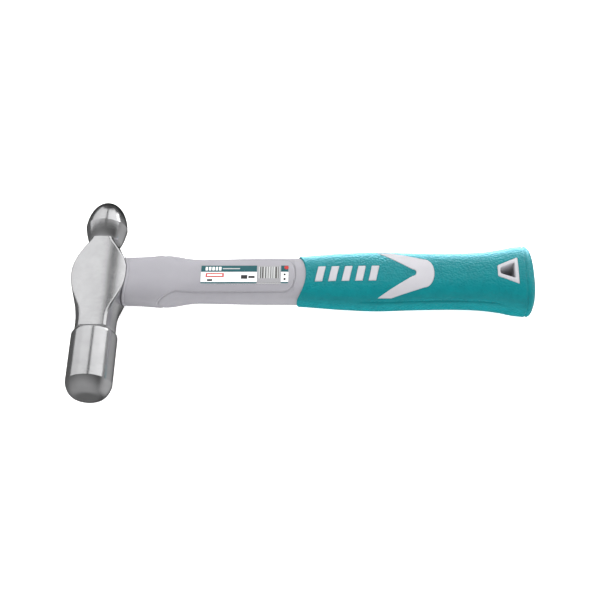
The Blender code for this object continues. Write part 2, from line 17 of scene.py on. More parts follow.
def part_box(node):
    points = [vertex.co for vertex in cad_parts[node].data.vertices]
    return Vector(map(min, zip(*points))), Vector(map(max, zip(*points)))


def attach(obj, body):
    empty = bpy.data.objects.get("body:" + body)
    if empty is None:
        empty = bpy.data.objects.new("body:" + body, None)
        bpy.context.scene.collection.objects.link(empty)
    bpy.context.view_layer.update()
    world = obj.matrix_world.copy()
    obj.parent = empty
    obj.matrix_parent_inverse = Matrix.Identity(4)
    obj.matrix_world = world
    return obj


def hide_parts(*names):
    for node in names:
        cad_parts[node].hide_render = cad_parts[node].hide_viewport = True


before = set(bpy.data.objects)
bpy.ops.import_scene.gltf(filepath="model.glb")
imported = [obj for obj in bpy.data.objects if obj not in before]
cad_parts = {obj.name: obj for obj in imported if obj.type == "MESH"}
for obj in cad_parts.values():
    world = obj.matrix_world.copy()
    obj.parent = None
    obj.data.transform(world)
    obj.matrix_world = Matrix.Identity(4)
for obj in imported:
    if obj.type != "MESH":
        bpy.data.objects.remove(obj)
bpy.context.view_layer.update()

MM = 0.001

# Head, along +Y from the eye's centre (negative is the poll's side)
POLL_RADIUS = 13.5 * MM
POLL_START = -38.6 * MM            # where the poll reaches its full radius
SHOULDER_Y = -36.6 * MM            # the poll's rounded shoulder, beside the groove
SHOULDER_RADIUS = 12.9 * MM
GROOVE_END = -35.2 * MM
GROOVE_DEPTH = 0.5 * MM
NECK_RADIUS = 12.1 * MM
NECK_DEPTH = 15.0 * MM             # of the neck before its cheeks are ground
NECK_SQUARENESS = 1.7
NECK_END = -31.0 * MM
CROWN_START = -68.0 * MM           # where the poll turns in to its rounded striking end
CROWN_SWEEP = math.radians(70.0)
CROWN_FULLNESS = 0.8
FACE_Y = -76.6 * MM
FACE_FLAT_RADIUS = 5.0 * MM
EYE_WIDTH_Y = 1.8 * MM             # where the body is widest
BODY_HALF_WIDTH = 16.6 * MM
BODY_HALF_DEPTH = 17.4 * MM        # of the forging before its cheeks are ground
BODY_SQUARENESS = 4.5
POLL_SIDE_POWER = 1.25             # how sharply the body narrows to the neck
BALL_SIDE_POWER = 0.7              # how sharply the body narrows to the waist
CHEEK_HEIGHT = 10.9 * MM
CHEEK_CURVE = 62.0 * MM            # radius of the cheek's gentle crown
CHEEK_END_Y = 25.7 * MM
CHEEK_EDGE = 0.9 * MM              # how far the cheek's edge is rounded
WAIST_Y = 26.2 * MM
WAIST_RADIUS = 8.7 * MM
WAIST_DEPTH = 13.5 * MM
WAIST_SQUARENESS = 1.8
BALL_Y = 37.3 * MM                 # the crisp edge where the ball's dome starts
BALL_RADIUS = 12.6 * MM
CONE_FULLNESS = 0.52
BALL_TIP_Y = 55.4 * MM
BALL_POINTEDNESS = 2.1
BALL_CUT = 0.15                    # share of the dome's curve left out below its edge

# Eye through the head: half sizes in Y and Z
EYE_HALF = (9.3 * MM, 6.4 * MM)
EYE_FLARE = 0.5 * MM
OVAL_ROUNDNESS = 2.3

# Handle sections: place along X, half height in Y, half thickness in Z
NECK_OUTLINE = [
    (16.0 * MM, 14.7 * MM, 8.35 * MM),
    (27.0 * MM, 15.3 * MM, 8.75 * MM),
    (35.0 * MM, 16.0 * MM, 9.1 * MM),
    (41.0 * MM, 16.35 * MM, 9.3 * MM),
    (46.0 * MM, 15.8 * MM, 8.9 * MM),
    (53.0 * MM, 14.5 * MM, 8.25 * MM),
    (60.0 * MM, 13.9 * MM, 8.05 * MM),
    (90.0 * MM, 14.6 * MM, 8.05 * MM),
    (124.0 * MM, 14.75 * MM, 8.15 * MM),
]
GRIP_OUTLINE = [
    (112.0 * MM, 15.0 * MM, 8.75 * MM),
    (128.0 * MM, 16.2 * MM, 9.15 * MM),
    (145.0 * MM, 17.85 * MM, 9.65 * MM),
    (164.0 * MM, 18.8 * MM, 10.15 * MM),
    (185.0 * MM, 18.05 * MM, 10.5 * MM),
    (207.0 * MM, 17.5 * MM, 10.9 * MM),
    (225.0 * MM, 17.8 * MM, 11.7 * MM),
    (236.0 * MM, 19.0 * MM, 12.7 * MM),
    (245.0 * MM, 21.0 * MM, 13.3 * MM),
    (252.0 * MM, 21.9 * MM, 13.5 * MM),
]
HANDLE_ROUNDNESS = 2.6
NECK_START = 17.5 * MM             # the section that meets the head's flank
NECK_PLAIN = 24.0 * MM             # from here the sections are flat cuts
NECK_SWEPT = 100.0 * MM            # from here they bend to the grip's edge
BUTT_START = 252.0 * MM            # where the grip's and the tail's domed ends start
BUTT_LENGTH = 6.2 * MM
BUTT_ROUNDNESS = 2.5
GRIP_FRONT = 123.1 * MM            # the grip's front edge, at its furthest from the head
GRIP_FRONT_Y = 0.8 * MM            # where that is
GRIP_FRONT_SWEEP = 0.0195 / MM     # the edge's parabola back towards the head at the sides
GRIP_PLAIN = 150.0 * MM
GRIP_WALL = 2.2 * MM
GRIP_LIP = 0.8 * MM                # radius of the grip's rounded front edge
TAIL_LENGTH = 2.0 * MM
SEAM_GAP = 0.08 * MM               # between pieces moulded against each other
BORE_HALF = (8.1 * MM, 5.2 * MM)
CORE_END = 226.0 * MM

# Bead around the jacket's head end
BEAD_WIDTH = 1.3 * MM
BEAD_HEIGHT = 0.3 * MM
BEAD_EDGE = 0.4 * MM               # width of its step down to the neck
BEAD_MOUTH = 0.35 * MM             # width of its rounding against the head
BEAD_GROOVE_WIDTH = 0.3 * MM
BEAD_GROOVE_OFFSET = 0.25 * MM

# Raised tongue of the jacket, and the label on it
TONGUE_HEIGHT = 0.4 * MM
TONGUE_HALF_WIDTH = 10.5 * MM
TONGUE_TIP = 116.5 * MM
TONGUE_TIP_LENGTH = 6.5 * MM
TONGUE_FLARE_START = 34.0 * MM
TONGUE_FLARE_END = 46.0 * MM
TONGUE_FLARE_HALF_WIDTH = 17.0 * MM
TONGUE_STEP = 0.5 * MM             # width of the step down from the tongue
TONGUE_GROOVE = 0.32 * MM          # depth of the fine line around it
TONGUE_GROOVE_WIDTH = 0.3 * MM
TONGUE_GROOVE_OFFSET = 0.45 * MM
LABEL_X = (61.1 * MM, 112.8 * MM)
LABEL_HALF_WIDTH = 6.2 * MM
LABEL_LIFT = 0.2 * MM

# Inlays of the grip
INLAY_LIFT = 0.22 * MM
INLAY_DEPTH = 1.7 * MM
INLAY_EDGE = 0.4 * MM              # width of an inlay's rounded edge
INLAY_SPACING = 0.8 * MM           # between the points of its mesh
WINDOW_FLOOR = 2.0 * MM            # height where the cutters for the inlays' windows start
CHEVRON_TAIL_X = (165.0 * MM, 173.2 * MM)
CHEVRON_TAIL_Y = 15.6 * MM
CHEVRON_INNER_NOSE = (188.0 * MM, 2.2 * MM)
CHEVRON_OUTER_NOSE = (198.8 * MM, 9.7 * MM)
CHEVRON_NOSE_LENGTH = 6.0 * MM
BAR_COUNT = 5
BAR_START = 129.4 * MM
BAR_PITCH = 7.9 * MM
BAR_WIDTH = 4.6 * MM
BAR_HALF_HEIGHT = 5.2 * MM
BAR_SLANT = 1.1 * MM               # how far a bar's end leans from its middle

# Hang hole: a trapezoid, narrow towards the head
LINER_X = (235.4 * MM, 247.6 * MM)
LINER_HALF_WIDTHS = (3.7 * MM, 9.2 * MM)
HOLE_X = (237.1 * MM, 245.4 * MM)
HOLE_HALF_WIDTHS = (1.7 * MM, 5.1 * MM)
LINER_CORNER = 1.0 * MM
HOLE_CORNER = 0.7 * MM
LINER_RIM = (0.14, 0.25)           # shares of its width that the rim's outer and inner roundings take
LINER_INNER_DROP = 1.6 * INLAY_EDGE

# Crease along each side of the grip's faces
CREASE_Z = 5.4 * MM
CREASE_DEPTH = 0.6 * MM
CREASE_WIDTH = 0.55 * MM
CREASE_START = 150.0 * MM
CREASE_END = 243.0 * MM
CREASE_FADE = 9.0 * MM
RIM_CREASE_DEPTH = 0.5 * MM        # of the line around the butt, where its dome starts
RIM_CREASE_WIDTH = 0.6 * MM

# Printed blocks of the label, in mm from its head end and from its middle line: x0, x1, y0, y1, ink
LABEL_BLOCKS = [
    (0.0, 33.1, 1.6, 6.2, "label_green"),
    (0.0, 33.1, -6.2, -5.2, "label_green"),
    (47.4, 51.7, 1.6, 6.2, "label_green"),
    (47.4, 51.7, -6.2, -5.2, "label_green"),
    (12.8, 23.0, 3.6, 4.3, "label_pale"),
    (2.7, 13.6, -2.0, 0.8, "label_red"),
    (3.7, 12.6, -1.1, -0.1, "label_white"),
    (3.6, 6.9, -4.7, -3.3, "label_black"),
    (23.7, 27.6, -3.2, -0.5, "label_black"),
    (28.1, 31.9, -2.7, -1.1, "label_black"),
    (33.1, 47.4, -6.2, 6.2, "label_silver"),
    (34.2, 46.4, -2.8, 5.3, "label_pale"),
    (48.9, 50.2, -0.9, 0.5, "label_black"),
    (48.9, 50.2, -4.1, -2.5, "label_black"),
]
LABEL_BLOCKS += [(start, start + 1.3, 2.7, 5.2, "label_white") for start in (2.6, 4.6, 6.6, 8.6, 10.6)]
LABEL_STRIPES = [(34.9, 0.8), (36.1, 1.0), (38.0, 0.7), (39.6, 0.4), (41.1, 0.5), (42.4, 0.4), (43.9, 1.2),
                 (45.6, 0.5)]
LABEL_BLOCKS += [(start, start + width, -2.8, 5.3, "label_dark") for start, width in LABEL_STRIPES]
LABEL_DOT = (50.6, 4.7, 1.3, "label_red")
LABEL_DOT_LIFT = 0.05 * MM
LABEL_DOT_STEPS = 28
LABEL_SPACING = (2.0, 0.8)         # between the points of its mesh, in mm, where no block's edge runs
INKS = {
    "label_white": (0.92, 0.92, 0.92),
    "label_green": (0.001, 0.07, 0.082),
    "label_pale": (0.42, 0.43, 0.43),
    "label_red": (0.42, 0.02, 0.018),
    "label_black": (0.02, 0.02, 0.02),
    "label_silver": (0.27, 0.27, 0.28),
    "label_dark": (0.08, 0.075, 0.075),
}

# Mesh density
HEAD_QUARTER = 56                  # quads around a quarter of the head
NECK_QUARTER = 46
GRIP_QUARTER = 44
EYE_QUARTER = 20
FINE = 720                         # points on a quarter section before they are spaced out
HALVINGS = 32                      # of the search for the surface of a ground section
CUTTER_REACH = 30.0 * MM

# Studio, in metres
FLOOR_RADIUS = 1.3
WALL_CURVE = 0.5
WALL_TOP = 2.4
WALL_STEPS = 96
SWEEP_GLOW = 0.72

# Panels around the head's axis, each facing it: start and end angle in degrees, from overhead towards
# +X, then radiance, and start and end along Y
PANEL_DISTANCE = 0.8
PANELS = {
    "right_outer": (42.0, 73.0, 1.22, 0.24, 2.3),
    "right_inner": (8.5, 42.0, 1.15, 0.24, 2.3),
    "left_inner": (-46.0, -2.0, 1.0, 0.24, 2.3),
    "left_outer": (-88.0, -46.0, 0.85, 0.24, 2.3),
    "ball_glint": (74.0, 84.0, 5.0, 0.55, 1.3),
    "back_key": (-10.0, 70.0, 2.0, 0.5, 1.3),
}

# Rim lights that reach the grip alone: place, size, radiance and colour. The one behind is tinted and
# adds gloss only, for the bright line along the top edge. The one in front adds diffuse light only.
RIM_LIGHTS = {
    "rim_behind": ((0.05, 1.0, -0.06), (1.8, 0.9), 16.0, (0.5, 0.85, 1.0)),
    "rim_in_front": ((0.05, -0.5, -0.8), (1.6, 0.8), 3.0, (1.0, 1.0, 1.0)),
}

# Glows of the room, seen in reflections: direction, reach in degrees and strength
ROOM_GLOWS = [
    ((0.0, 0.0, 1.0), 180.0, 0.12),
    ((-0.25, -0.9, 0.3), 95.0, 0.32),
    ((-1.0, 0.0, -0.6), 60.0, 0.12),
    ((1.0, 0.0, -0.5), 58.0, 0.50),
    ((0.0, -0.5, -1.0), 80.0, 0.10),
]

CAMERA_ELEVATION = math.radians(60.0)
CAMERA_AZIMUTH = math.radians(3.1)
CAMERA_ROLL = math.radians(-2.65)
CAMERA_AIM = Vector((-1.1 * MM, -2.0 * MM, 13.5 * MM))
CAMERA_DISTANCE = 0.6605
CAMERA_LENS = 67.0

head_low, head_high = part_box("hammer_head")
ORIGIN = Vector(((head_low.x + head_high.x) / 2, head_low.y - FACE_Y, (head_low.z + head_high.z) / 2))


# ---------------------------------------------------------------- mesh tools

def spread(start, end, step):
    """Evenly spaced values from start to end, both included, about step apart."""
    count = max(2, int(round(abs(end - start) / step)) + 1)
    return [start + (end - start) * index / (count - 1) for index in range(count)]


def joined(*stretches):
    """Places along stretches (start, end, step) that follow each other."""
    places = spread(*stretches[0])
    for stretch in stretches[1:]:
        places += spread(*stretch)[1:]
    return places


def smooth_step(value):
    """Smooth rise from 0 to 1 as the value goes from 0 to 1."""
    value = np.clip(value, 0.0, 1.0)
    return value * value * (3 - 2 * value)


def bell(distance, width):
    """Smooth bump of height 1 around distance 0."""
    return np.exp(-(distance / width) ** 2)


def spaced(points, count, bend_weight, focus=None):
    """count + 1 points along a fine curve, closer together where it bends and where focus asks."""
    steps = np.diff(points, axis=0)
    lengths = np.hypot(steps[:, 0], steps[:, 1])
    heading = np.unwrap(np.arctan2(steps[:, 1], steps[:, 0]))
    weights = lengths.copy()
    weights[1:] += bend_weight * np.abs(np.diff(heading))
    if focus is not None:
        weights += focus(points[:-1]) * lengths
    reach = np.concatenate(([0.0], np.cumsum(weights)))
    wanted = np.linspace(0.0, reach[-1], count + 1)
    return np.column_stack([np.interp(wanted, reach, points[:, axis]) for axis in (0, 1)])


def mirrored(quarter):
    """Closed ring from a quarter that runs from the first axis to the second."""
    across = quarter * (-1, 1)
    half = np.vstack([quarter[:-1], across[:0:-1]])
    return np.vstack([half, -half])


def superellipse_quarter(half_a, half_b, exponent):
    """Fine quarter of a superellipse, from the end of its first axis to that of its second."""
    angle = np.linspace(0.0, math.pi / 2, FINE)
    return np.column_stack([
        half_a * np.clip(np.cos(angle), 0, 1) ** (2 / exponent),
        half_b * np.clip(np.sin(angle), 0, 1) ** (2 / exponent),
    ])


def place_mesh(name, points, faces):
    """Object of that name in the row frame, from points in the hammer's axes."""
    mesh = bpy.data.meshes.new(name)
    mesh.from_pydata([tuple(Vector(point) + ORIGIN) for point in points], [], faces)
    mesh.validate()
    bm = bmesh.new()
    bm.from_mesh(mesh)
    bmesh.ops.recalc_face_normals(bm, faces=bm.faces)
    bm.to_mesh(mesh)
    bm.free()
    item = bpy.data.objects.new(name, mesh)
    bpy.context.collection.objects.link(item)
    return item


def band(first, second, count):
    """Quads between two loops of count points that start at these indices."""
    faces = []
    for step in range(count):
        following = (step + 1) % count
        faces.append((first + step, first + following, second + following, second + step))
    return faces


def rings_mesh(name, rings, first_pole, last_pole):
    """Closed surface through rings of as many points, with a fan onto each pole."""
    around = len(rings[0])
    points = [first_pole]
    for ring in rings:
        points.extend(tuple(point) for point in ring)
    points.append(last_pole)
    faces = []
    for row in range(len(rings) - 1):
        faces += band(1 + row * around, 1 + (row + 1) * around, around)
    final = 1 + (len(rings) - 1) * around
    for step in range(around):
        following = (step + 1) % around
        faces.append((0, 1 + following, 1 + step))
        faces.append((len(points) - 1, final + step, final + following))
    return place_mesh(name, points, faces)


def prism_mesh(name, outlines, low, high):
    """Separate prisms of the XY outlines, from height low to height high."""
    points = []
    faces = []
    for outline in outlines:
        start = len(points)
        count = len(outline)
        points.extend((x, y, low) for x, y in outline)
        points.extend((x, y, high) for x, y in outline)
        faces += band(start, start + count, count)
        faces.append(tuple(range(start, start + count)))
        faces.append(tuple(range(start + count, start + 2 * count)))
    return place_mesh(name, points, faces)


def cut(item, cutter):
    """Subtract the cutter from the item, and keep only the result."""
    modifier = item.modifiers.new("cut", 'BOOLEAN')
    modifier.operation = 'DIFFERENCE'
    modifier.object = cutter
    modifier.solver = 'EXACT'
    graph = bpy.context.evaluated_depsgraph_get()
    mesh = bpy.data.meshes.new_from_object(item.evaluated_get(graph))
    item.modifiers.clear()
    item.data = mesh
    bpy.data.objects.remove(cutter)


def finish_piece(item, node, material, sharp_angle=32.0):
    """Shade, paint and hand over a piece that stands for a CAD node."""
    if not item.data.materials:
        item.data.materials.append(material)
    item.data.shade_smooth()
    item.data.set_sharp_from_angle(angle=math.radians(sharp_angle))
    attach(item, "root")
    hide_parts(node)
    return item


# ---------------------------------------------------------------- outlines

def inset(outline, distance):
    """Closed outline with every edge moved inwards; a negative distance moves them out."""
    corners = [Vector(point) for point in outline]
    area = sum(a.x * b.y - b.x * a.y for a, b in zip(corners, corners[1:] + corners[:1]))
    turn = 1 if area > 0 else -1
    moved = []
    for index, corner in enumerate(corners):
        before = (corner - corners[index - 1]).normalized()
        after = (corners[(index + 1) % len(corners)] - corner).normalized()
        first = Vector((-before.y, before.x)) * turn
        second = Vector((-after.y, after.x)) * turn
        moved.append(corner + (first + second) * distance / (1 + first.dot(second)))
    return moved


def divided(outline, guide, spacing):
    """Outline with its edges divided, as many times each as the guide's edges need."""
    points = []
    for index, start in enumerate(outline):
        following = (index + 1) % len(outline)
        length = (Vector(guide[following]) - Vector(guide[index])).length
        count = max(1, int(math.ceil(length / spacing)))
        for step in range(count):
            points.append(Vector(start).lerp(Vector(outline[following]), step / count))
    return points


def rounded(outline, radius, steps=6):
    """Outline with each corner replaced by a short curve."""
    points = []
    count = len(outline)
    for index in range(count):
        corner = Vector(outline[index])
        before = Vector(outline[index - 1])
        after = Vector(outline[(index + 1) % count])
        start = corner + (before - corner).normalized() * radius
        end = corner + (after - corner).normalized() * radius
        for step in range(steps + 1):
            t = step / steps
            points.append(start * (1 - t) ** 2 + corner * 2 * t * (1 - t) + end * t ** 2)
    return points


def chevron_outline():
    """Arrow shape with its nose towards the butt."""
    inner_x, inner_y = CHEVRON_INNER_NOSE
    outer_x, outer_y = CHEVRON_OUTER_NOSE
    upper = [(CHEVRON_TAIL_X[1], CHEVRON_TAIL_Y), (CHEVRON_TAIL_X[0], CHEVRON_TAIL_Y)]
    for step in range(9):
        angle = step / 9 * math.pi / 2
        upper.append((inner_x - inner_y * (1 - math.sin(angle)), inner_y * math.cos(angle)))
    upper.append((inner_x, 0.0))
    outer = []
    for step in range(1, 15):
        angle = step / 15 * math.pi / 2
        outer.append((outer_x - CHEVRON_NOSE_LENGTH * (1 - math.sin(angle)), outer_y * math.cos(angle)))
    outer.insert(0, (outer_x - CHEVRON_NOSE_LENGTH, outer_y))
    lower_inner = [(x, -y) for x, y in reversed(upper[:-1])]
    lower_outer = [(x, -y) for x, y in outer]
    return upper + lower_inner + lower_outer + [(outer_x, 0.0)] + list(reversed(outer))


def bar_outlines():
    """Slanted bars in a row along the grip."""
    outlines = []
    for index in range(BAR_COUNT):
        middle = BAR_START + BAR_PITCH * index + BAR_WIDTH / 2
        half = BAR_WIDTH / 2
        outlines.append([
            (middle - half - BAR_SLANT, -BAR_HALF_HEIGHT),
            (middle + half - BAR_SLANT, -BAR_HALF_HEIGHT),
            (middle + half + BAR_SLANT, BAR_HALF_HEIGHT),
            (middle - half + BAR_SLANT, BAR_HALF_HEIGHT),
        ])
    return outlines


def trapezoid(x_range, half_widths):
    """Trapezoid outline, narrow end first."""
    return [
        (x_range[0], -half_widths[0]),
        (x_range[1], -half_widths[1]),
        (x_range[1], half_widths[1]),
        (x_range[0], half_widths[0]),
    ]


def tongue_side():
    """Fine line along one side of the tongue, from the collar's flare to the tip."""
    line = [(TONGUE_FLARE_START, CUTTER_REACH)]
    for turn in spread(0.0, 1.0, 0.02):
        angle = turn * math.pi / 2
        x = TONGUE_FLARE_START + (TONGUE_FLARE_END - TONGUE_FLARE_START) * math.sin(angle) ** 1.3
        y = TONGUE_HALF_WIDTH + (TONGUE_FLARE_HALF_WIDTH - TONGUE_HALF_WIDTH) * (1 - math.sin(angle))
        line.append((x, y))
    for x in spread(TONGUE_FLARE_END, TONGUE_TIP - TONGUE_TIP_LENGTH, 0.5 * MM)[1:]:
        line.append((x, TONGUE_HALF_WIDTH))
    for turn in spread(0.0, 1.0, 0.02)[1:]:
        angle = turn * math.pi / 2
        x = TONGUE_TIP - TONGUE_TIP_LENGTH * (1 - math.sin(angle))
        line.append((x, TONGUE_HALF_WIDTH * max(math.cos(angle), 0.0) ** 0.8))
    return np.array(line)


# ---------------------------------------------------------------- head

def body_section(y):
    """Half width in X, half depth in Z and exponent of the forged body at y."""
    if y < EYE_WIDTH_Y:
        reach = (EYE_WIDTH_Y - y) / (EYE_WIDTH_Y - NECK_END)
        power = POLL_SIDE_POWER
        end = (NECK_RADIUS, NECK_DEPTH, NECK_SQUARENESS)
    else:
        reach = (y - EYE_WIDTH_Y) / (WAIST_Y - EYE_WIDTH_Y)
        power = BALL_SIDE_POWER
        end = (WAIST_RADIUS, WAIST_DEPTH, WAIST_SQUARENESS)
    swell = ((1 + math.cos(math.pi * min(reach, 1.0))) / 2) ** power
    middle = (BODY_HALF_WIDTH, BODY_HALF_DEPTH, BODY_SQUARENESS)
    return [first + (second - first) * swell for first, second in zip(end, middle)]


def flank_x(y, z):
    """Distance of the head's flank from its axis plane."""
    half_width, half_depth, exponent = body_section(y)
    return half_width * (1 - min(abs(z) / half_depth, 0.99) ** exponent) ** (1 / exponent)


def ground_quarter(half_width, half_depth, exponent, dip):
    """Quarter section where the forging meets the ground cheek in a rounded edge; dip sinks both."""
    angle = np.linspace(0.0, math.pi / 2, FINE)
    cosine = np.cos(angle)
    sine = np.sin(angle)
    width = half_width - dip
    depth = half_depth - dip
    low = np.full(FINE, 1.0 * MM)
    high = np.full(FINE, 26.0 * MM)
    for _ in range(HALVINGS):
        middle = (low + high) / 2
        x = middle * cosine
        z = middle * sine
        reach = ((x / width) ** exponent + (z / depth) ** exponent) ** (1 / exponent)
        slope = reach ** (1 - exponent) * np.hypot(
            (x / width) ** (exponent - 1) / width, (z / depth) ** (exponent - 1) / depth)
        side = (reach - 1) / slope
        top = z - (CHEEK_HEIGHT - dip - x * x / (2 * CHEEK_CURVE))
        overlap = np.maximum(CHEEK_EDGE - np.abs(side - top), 0.0)
        inside = np.maximum(side, top) + overlap ** 2 / (4 * CHEEK_EDGE) < 0
        low = np.where(inside, middle, low)
        high = np.where(inside, high, middle)
    return np.column_stack([low * cosine, low * sine])


def poll_rings():
    """Turned sections (y, radius) from the striking face to the poll's shoulder."""
    rings = [(FACE_Y, FACE_FLAT_RADIUS * share) for share in (0.3, 0.65, 0.9)]
    for turn in spread(0.0, 1.0, 0.03):
        angle = turn * CROWN_SWEEP
        y = FACE_Y + (CROWN_START - FACE_Y) * (1 - math.cos(angle)) / (1 - math.cos(CROWN_SWEEP))
        swell = (math.sin(angle) / math.sin(CROWN_SWEEP)) ** CROWN_FULLNESS
        rings.append((y, FACE_FLAT_RADIUS + (POLL_RADIUS - FACE_FLAT_RADIUS) * swell))
    rings.append((CROWN_START + 0.15 * MM, POLL_RADIUS))
    rings += [(y, POLL_RADIUS) for y in spread(CROWN_START, POLL_START, 1.4 * MM)[1:]]
    for turn in spread(0.0, 1.0, 0.12)[1:]:
        angle = turn * math.pi / 2
        y = POLL_START + (SHOULDER_Y - POLL_START) * math.sin(angle)
        rings.append((y, SHOULDER_RADIUS + (POLL_RADIUS - SHOULDER_RADIUS) * math.cos(angle)))
    rings.append((SHOULDER_Y + 0.05 * MM, SHOULDER_RADIUS - 0.25 * MM))
    return rings


def ball_rings():
    """Turned sections (y, radius) from the waist over the rim to the ball's tip."""
    rings = []
    for turn in spread(0.0, 1.0, 0.04):
        y = WAIST_Y + (BALL_Y - WAIST_Y) * turn
        rings.append((y, WAIST_RADIUS + (BALL_RADIUS - WAIST_RADIUS) * turn ** CONE_FULLNESS))
    rings.insert(-1, (BALL_Y - 0.1 * MM, BALL_RADIUS - 0.02 * MM))
    full = (1 - BALL_CUT ** BALL_POINTEDNESS) ** (1 / BALL_POINTEDNESS)
    first = math.asin(BALL_CUT)
    for turn in spread(0.0, 0.97, 0.02)[1:]:
        reach = math.sin(first + (math.pi / 2 - first) * turn)
        radius = BALL_RADIUS / full * (1 - reach ** BALL_POINTEDNESS) ** (1 / BALL_POINTEDNESS)
        rings.append((BALL_Y + (BALL_TIP_Y - BALL_Y) * (reach - BALL_CUT) / (1 - BALL_CUT), radius))
    return rings


def head_ring(y, quarter):
    """Ring of the body at y from a quarter section in X and Z."""
    ring = mirrored(spaced(quarter, HEAD_QUARTER, 8 * MM))
    return [(x, y, z) for x, z in ring]


def round_ring(y, radius):
    """Circle around the head's axis at y."""
    angle = np.linspace(0.0, math.pi / 2, HEAD_QUARTER + 1)
    ring = mirrored(np.column_stack([radius * np.cos(angle), radius * np.sin(angle)]))
    return [(x, y, z) for x, z in ring]


def body_rings():
    """Sections of the body, from the groove beside the poll to the waist."""
    places = [SHOULDER_Y + 0.1 * MM]
    places += joined((SHOULDER_Y + 0.3 * MM, GROOVE_END, 0.15 * MM), (GROOVE_END, 20 * MM, 0.6 * MM),
                     (20 * MM, CHEEK_END_Y, 0.25 * MM))
    groove_rise = SHOULDER_Y + 0.6 * MM
    rings = []
    for y in places:
        recovery = (y - groove_rise) / (GROOVE_END - groove_rise)
        dip = GROOVE_DEPTH * (1 - float(smooth_step(recovery)))
        rings.append(head_ring(y, ground_quarter(*body_section(y), dip)))
    return rings


def eye_cutter():
    """Oval prism along the handle's axis, flared where it leaves the head's flanks."""
    rings = []
    edge = BODY_HALF_WIDTH
    for x, flare in ((-edge - 6 * MM, 1.0), (-edge - 0.2 * MM, 1.0), (-edge + 0.6 * MM, 0.0),
                     (edge - 0.6 * MM, 0.0), (edge + 6 * MM, 0.0)):
        quarter = superellipse_quarter(EYE_HALF[0] + EYE_FLARE * flare,
                                       EYE_HALF[1] + EYE_FLARE * flare, OVAL_ROUNDNESS)
        ring = mirrored(spaced(quarter, EYE_QUARTER, 0.0))
        rings.append([(x, y, z) for y, z in ring])
    return rings_mesh("eye_cutter", rings, (rings[0][0][0], 0, 0), (rings[-1][0][0], 0, 0))


def build_head(material):
    """Forged head: poll, body with its cheeks and eye, waist and ball."""
    rings = [round_ring(y, radius) for y, radius in poll_rings()]
    rings += body_rings()
    rings += [round_ring(y, radius) for y, radius in ball_rings()]
    head = rings_mesh("head_forging", rings, (0, FACE_Y, 0), (0, BALL_TIP_Y, 0))
    cut(head, eye_cutter())
    finish_piece(head, "hammer_head", material, 40.0)


# ---------------------------------------------------------------- handle

def outline_at(outline, x):
    """Half height and half thickness at x, on a smooth curve through an outline's stations."""
    last = len(outline) - 2
    index = 0
    while index < last and x > outline[index + 1][0]:
        index += 1
    before = outline[max(index - 1, 0)]
    start = outline[index]
    end = outline[index + 1]
    after = outline[min(index + 2, len(outline) - 1)]
    span = end[0] - start[0]
    t = (x - start[0]) / span
    sizes = []
    for axis in (1, 2):
        slope_in = (end[axis] - before[axis]) / (end[0] - before[0]) * span
        slope_out = (after[axis] - start[axis]) / (after[0] - start[0]) * span
        sizes.append(
            start[axis] * (2 * t**3 - 3 * t**2 + 1)
            + slope_in * (t**3 - 2 * t**2 + t)
            + end[axis] * (3 * t**2 - 2 * t**3)
            + slope_out * (t**3 - t**2)
        )
    return sizes


def surface_z(outline, x, y):
    """Height of the handle's upper face above its middle plane."""
    half_height, half_thickness = outline_at(outline, x)
    share = min(abs(y) / half_height, 0.995)
    return half_thickness * (1 - share ** HANDLE_ROUNDNESS) ** (1 / HANDLE_ROUNDNESS)


def grip_front(y):
    """The x of the grip's front edge at y."""
    return GRIP_FRONT - GRIP_FRONT_SWEEP * (y - GRIP_FRONT_Y) ** 2


def handle_ring(sizes, quarter_count, place, relief=None, focus=None):
    """Ring of a handle section; place(y, z) gives each x, and relief(x, y, z) raises the surface."""
    half_height, half_thickness = sizes
    quarter = superellipse_quarter(half_height, half_thickness, HANDLE_ROUNDNESS)
    ring = mirrored(spaced(quarter, quarter_count, 4 * MM, focus))
    y = ring[:, 0]
    z = ring[:, 1]
    x = np.array([place(a, b) for a, b in ring])
    if relief is not None:
        power = HANDLE_ROUNDNESS - 1
        normal_y = np.sign(y) * (np.abs(y) / half_height) ** power / half_height
        normal_z = np.sign(z) * (np.abs(z) / half_thickness) ** power / half_thickness
        rise = relief(x, y, z) / np.hypot(normal_y, normal_z)
        y = y + normal_y * rise
        z = z + normal_z * rise
    return np.column_stack([x, y, z])


def at(x):
    """Placing rule of a flat section."""
    return lambda y, z: x


def domed_rings(sizes, length, quarter_count, steps, relief=None):
    """Rings of a domed end beyond BUTT_START."""
    rings = []
    for step in range(1, steps + 1):
        angle = step / (steps + 0.35) * math.pi / 2
        shrink = math.cos(angle) ** (2 / BUTT_ROUNDNESS)
        x = BUTT_START + length * math.sin(angle) ** (2 / BUTT_ROUNDNESS)
        rings.append(handle_ring([size * shrink for size in sizes], quarter_count, at(x), relief))
    return rings


TONGUE_LINE = tongue_side()


def tongue_edge(x):
    """Half width of the tongue at x."""
    if x < TONGUE_FLARE_START:
        return float(TONGUE_LINE[1, 1])
    if x > TONGUE_TIP:
        return 0.0
    return float(np.interp(x, TONGUE_LINE[1:, 0], TONGUE_LINE[1:, 1]))


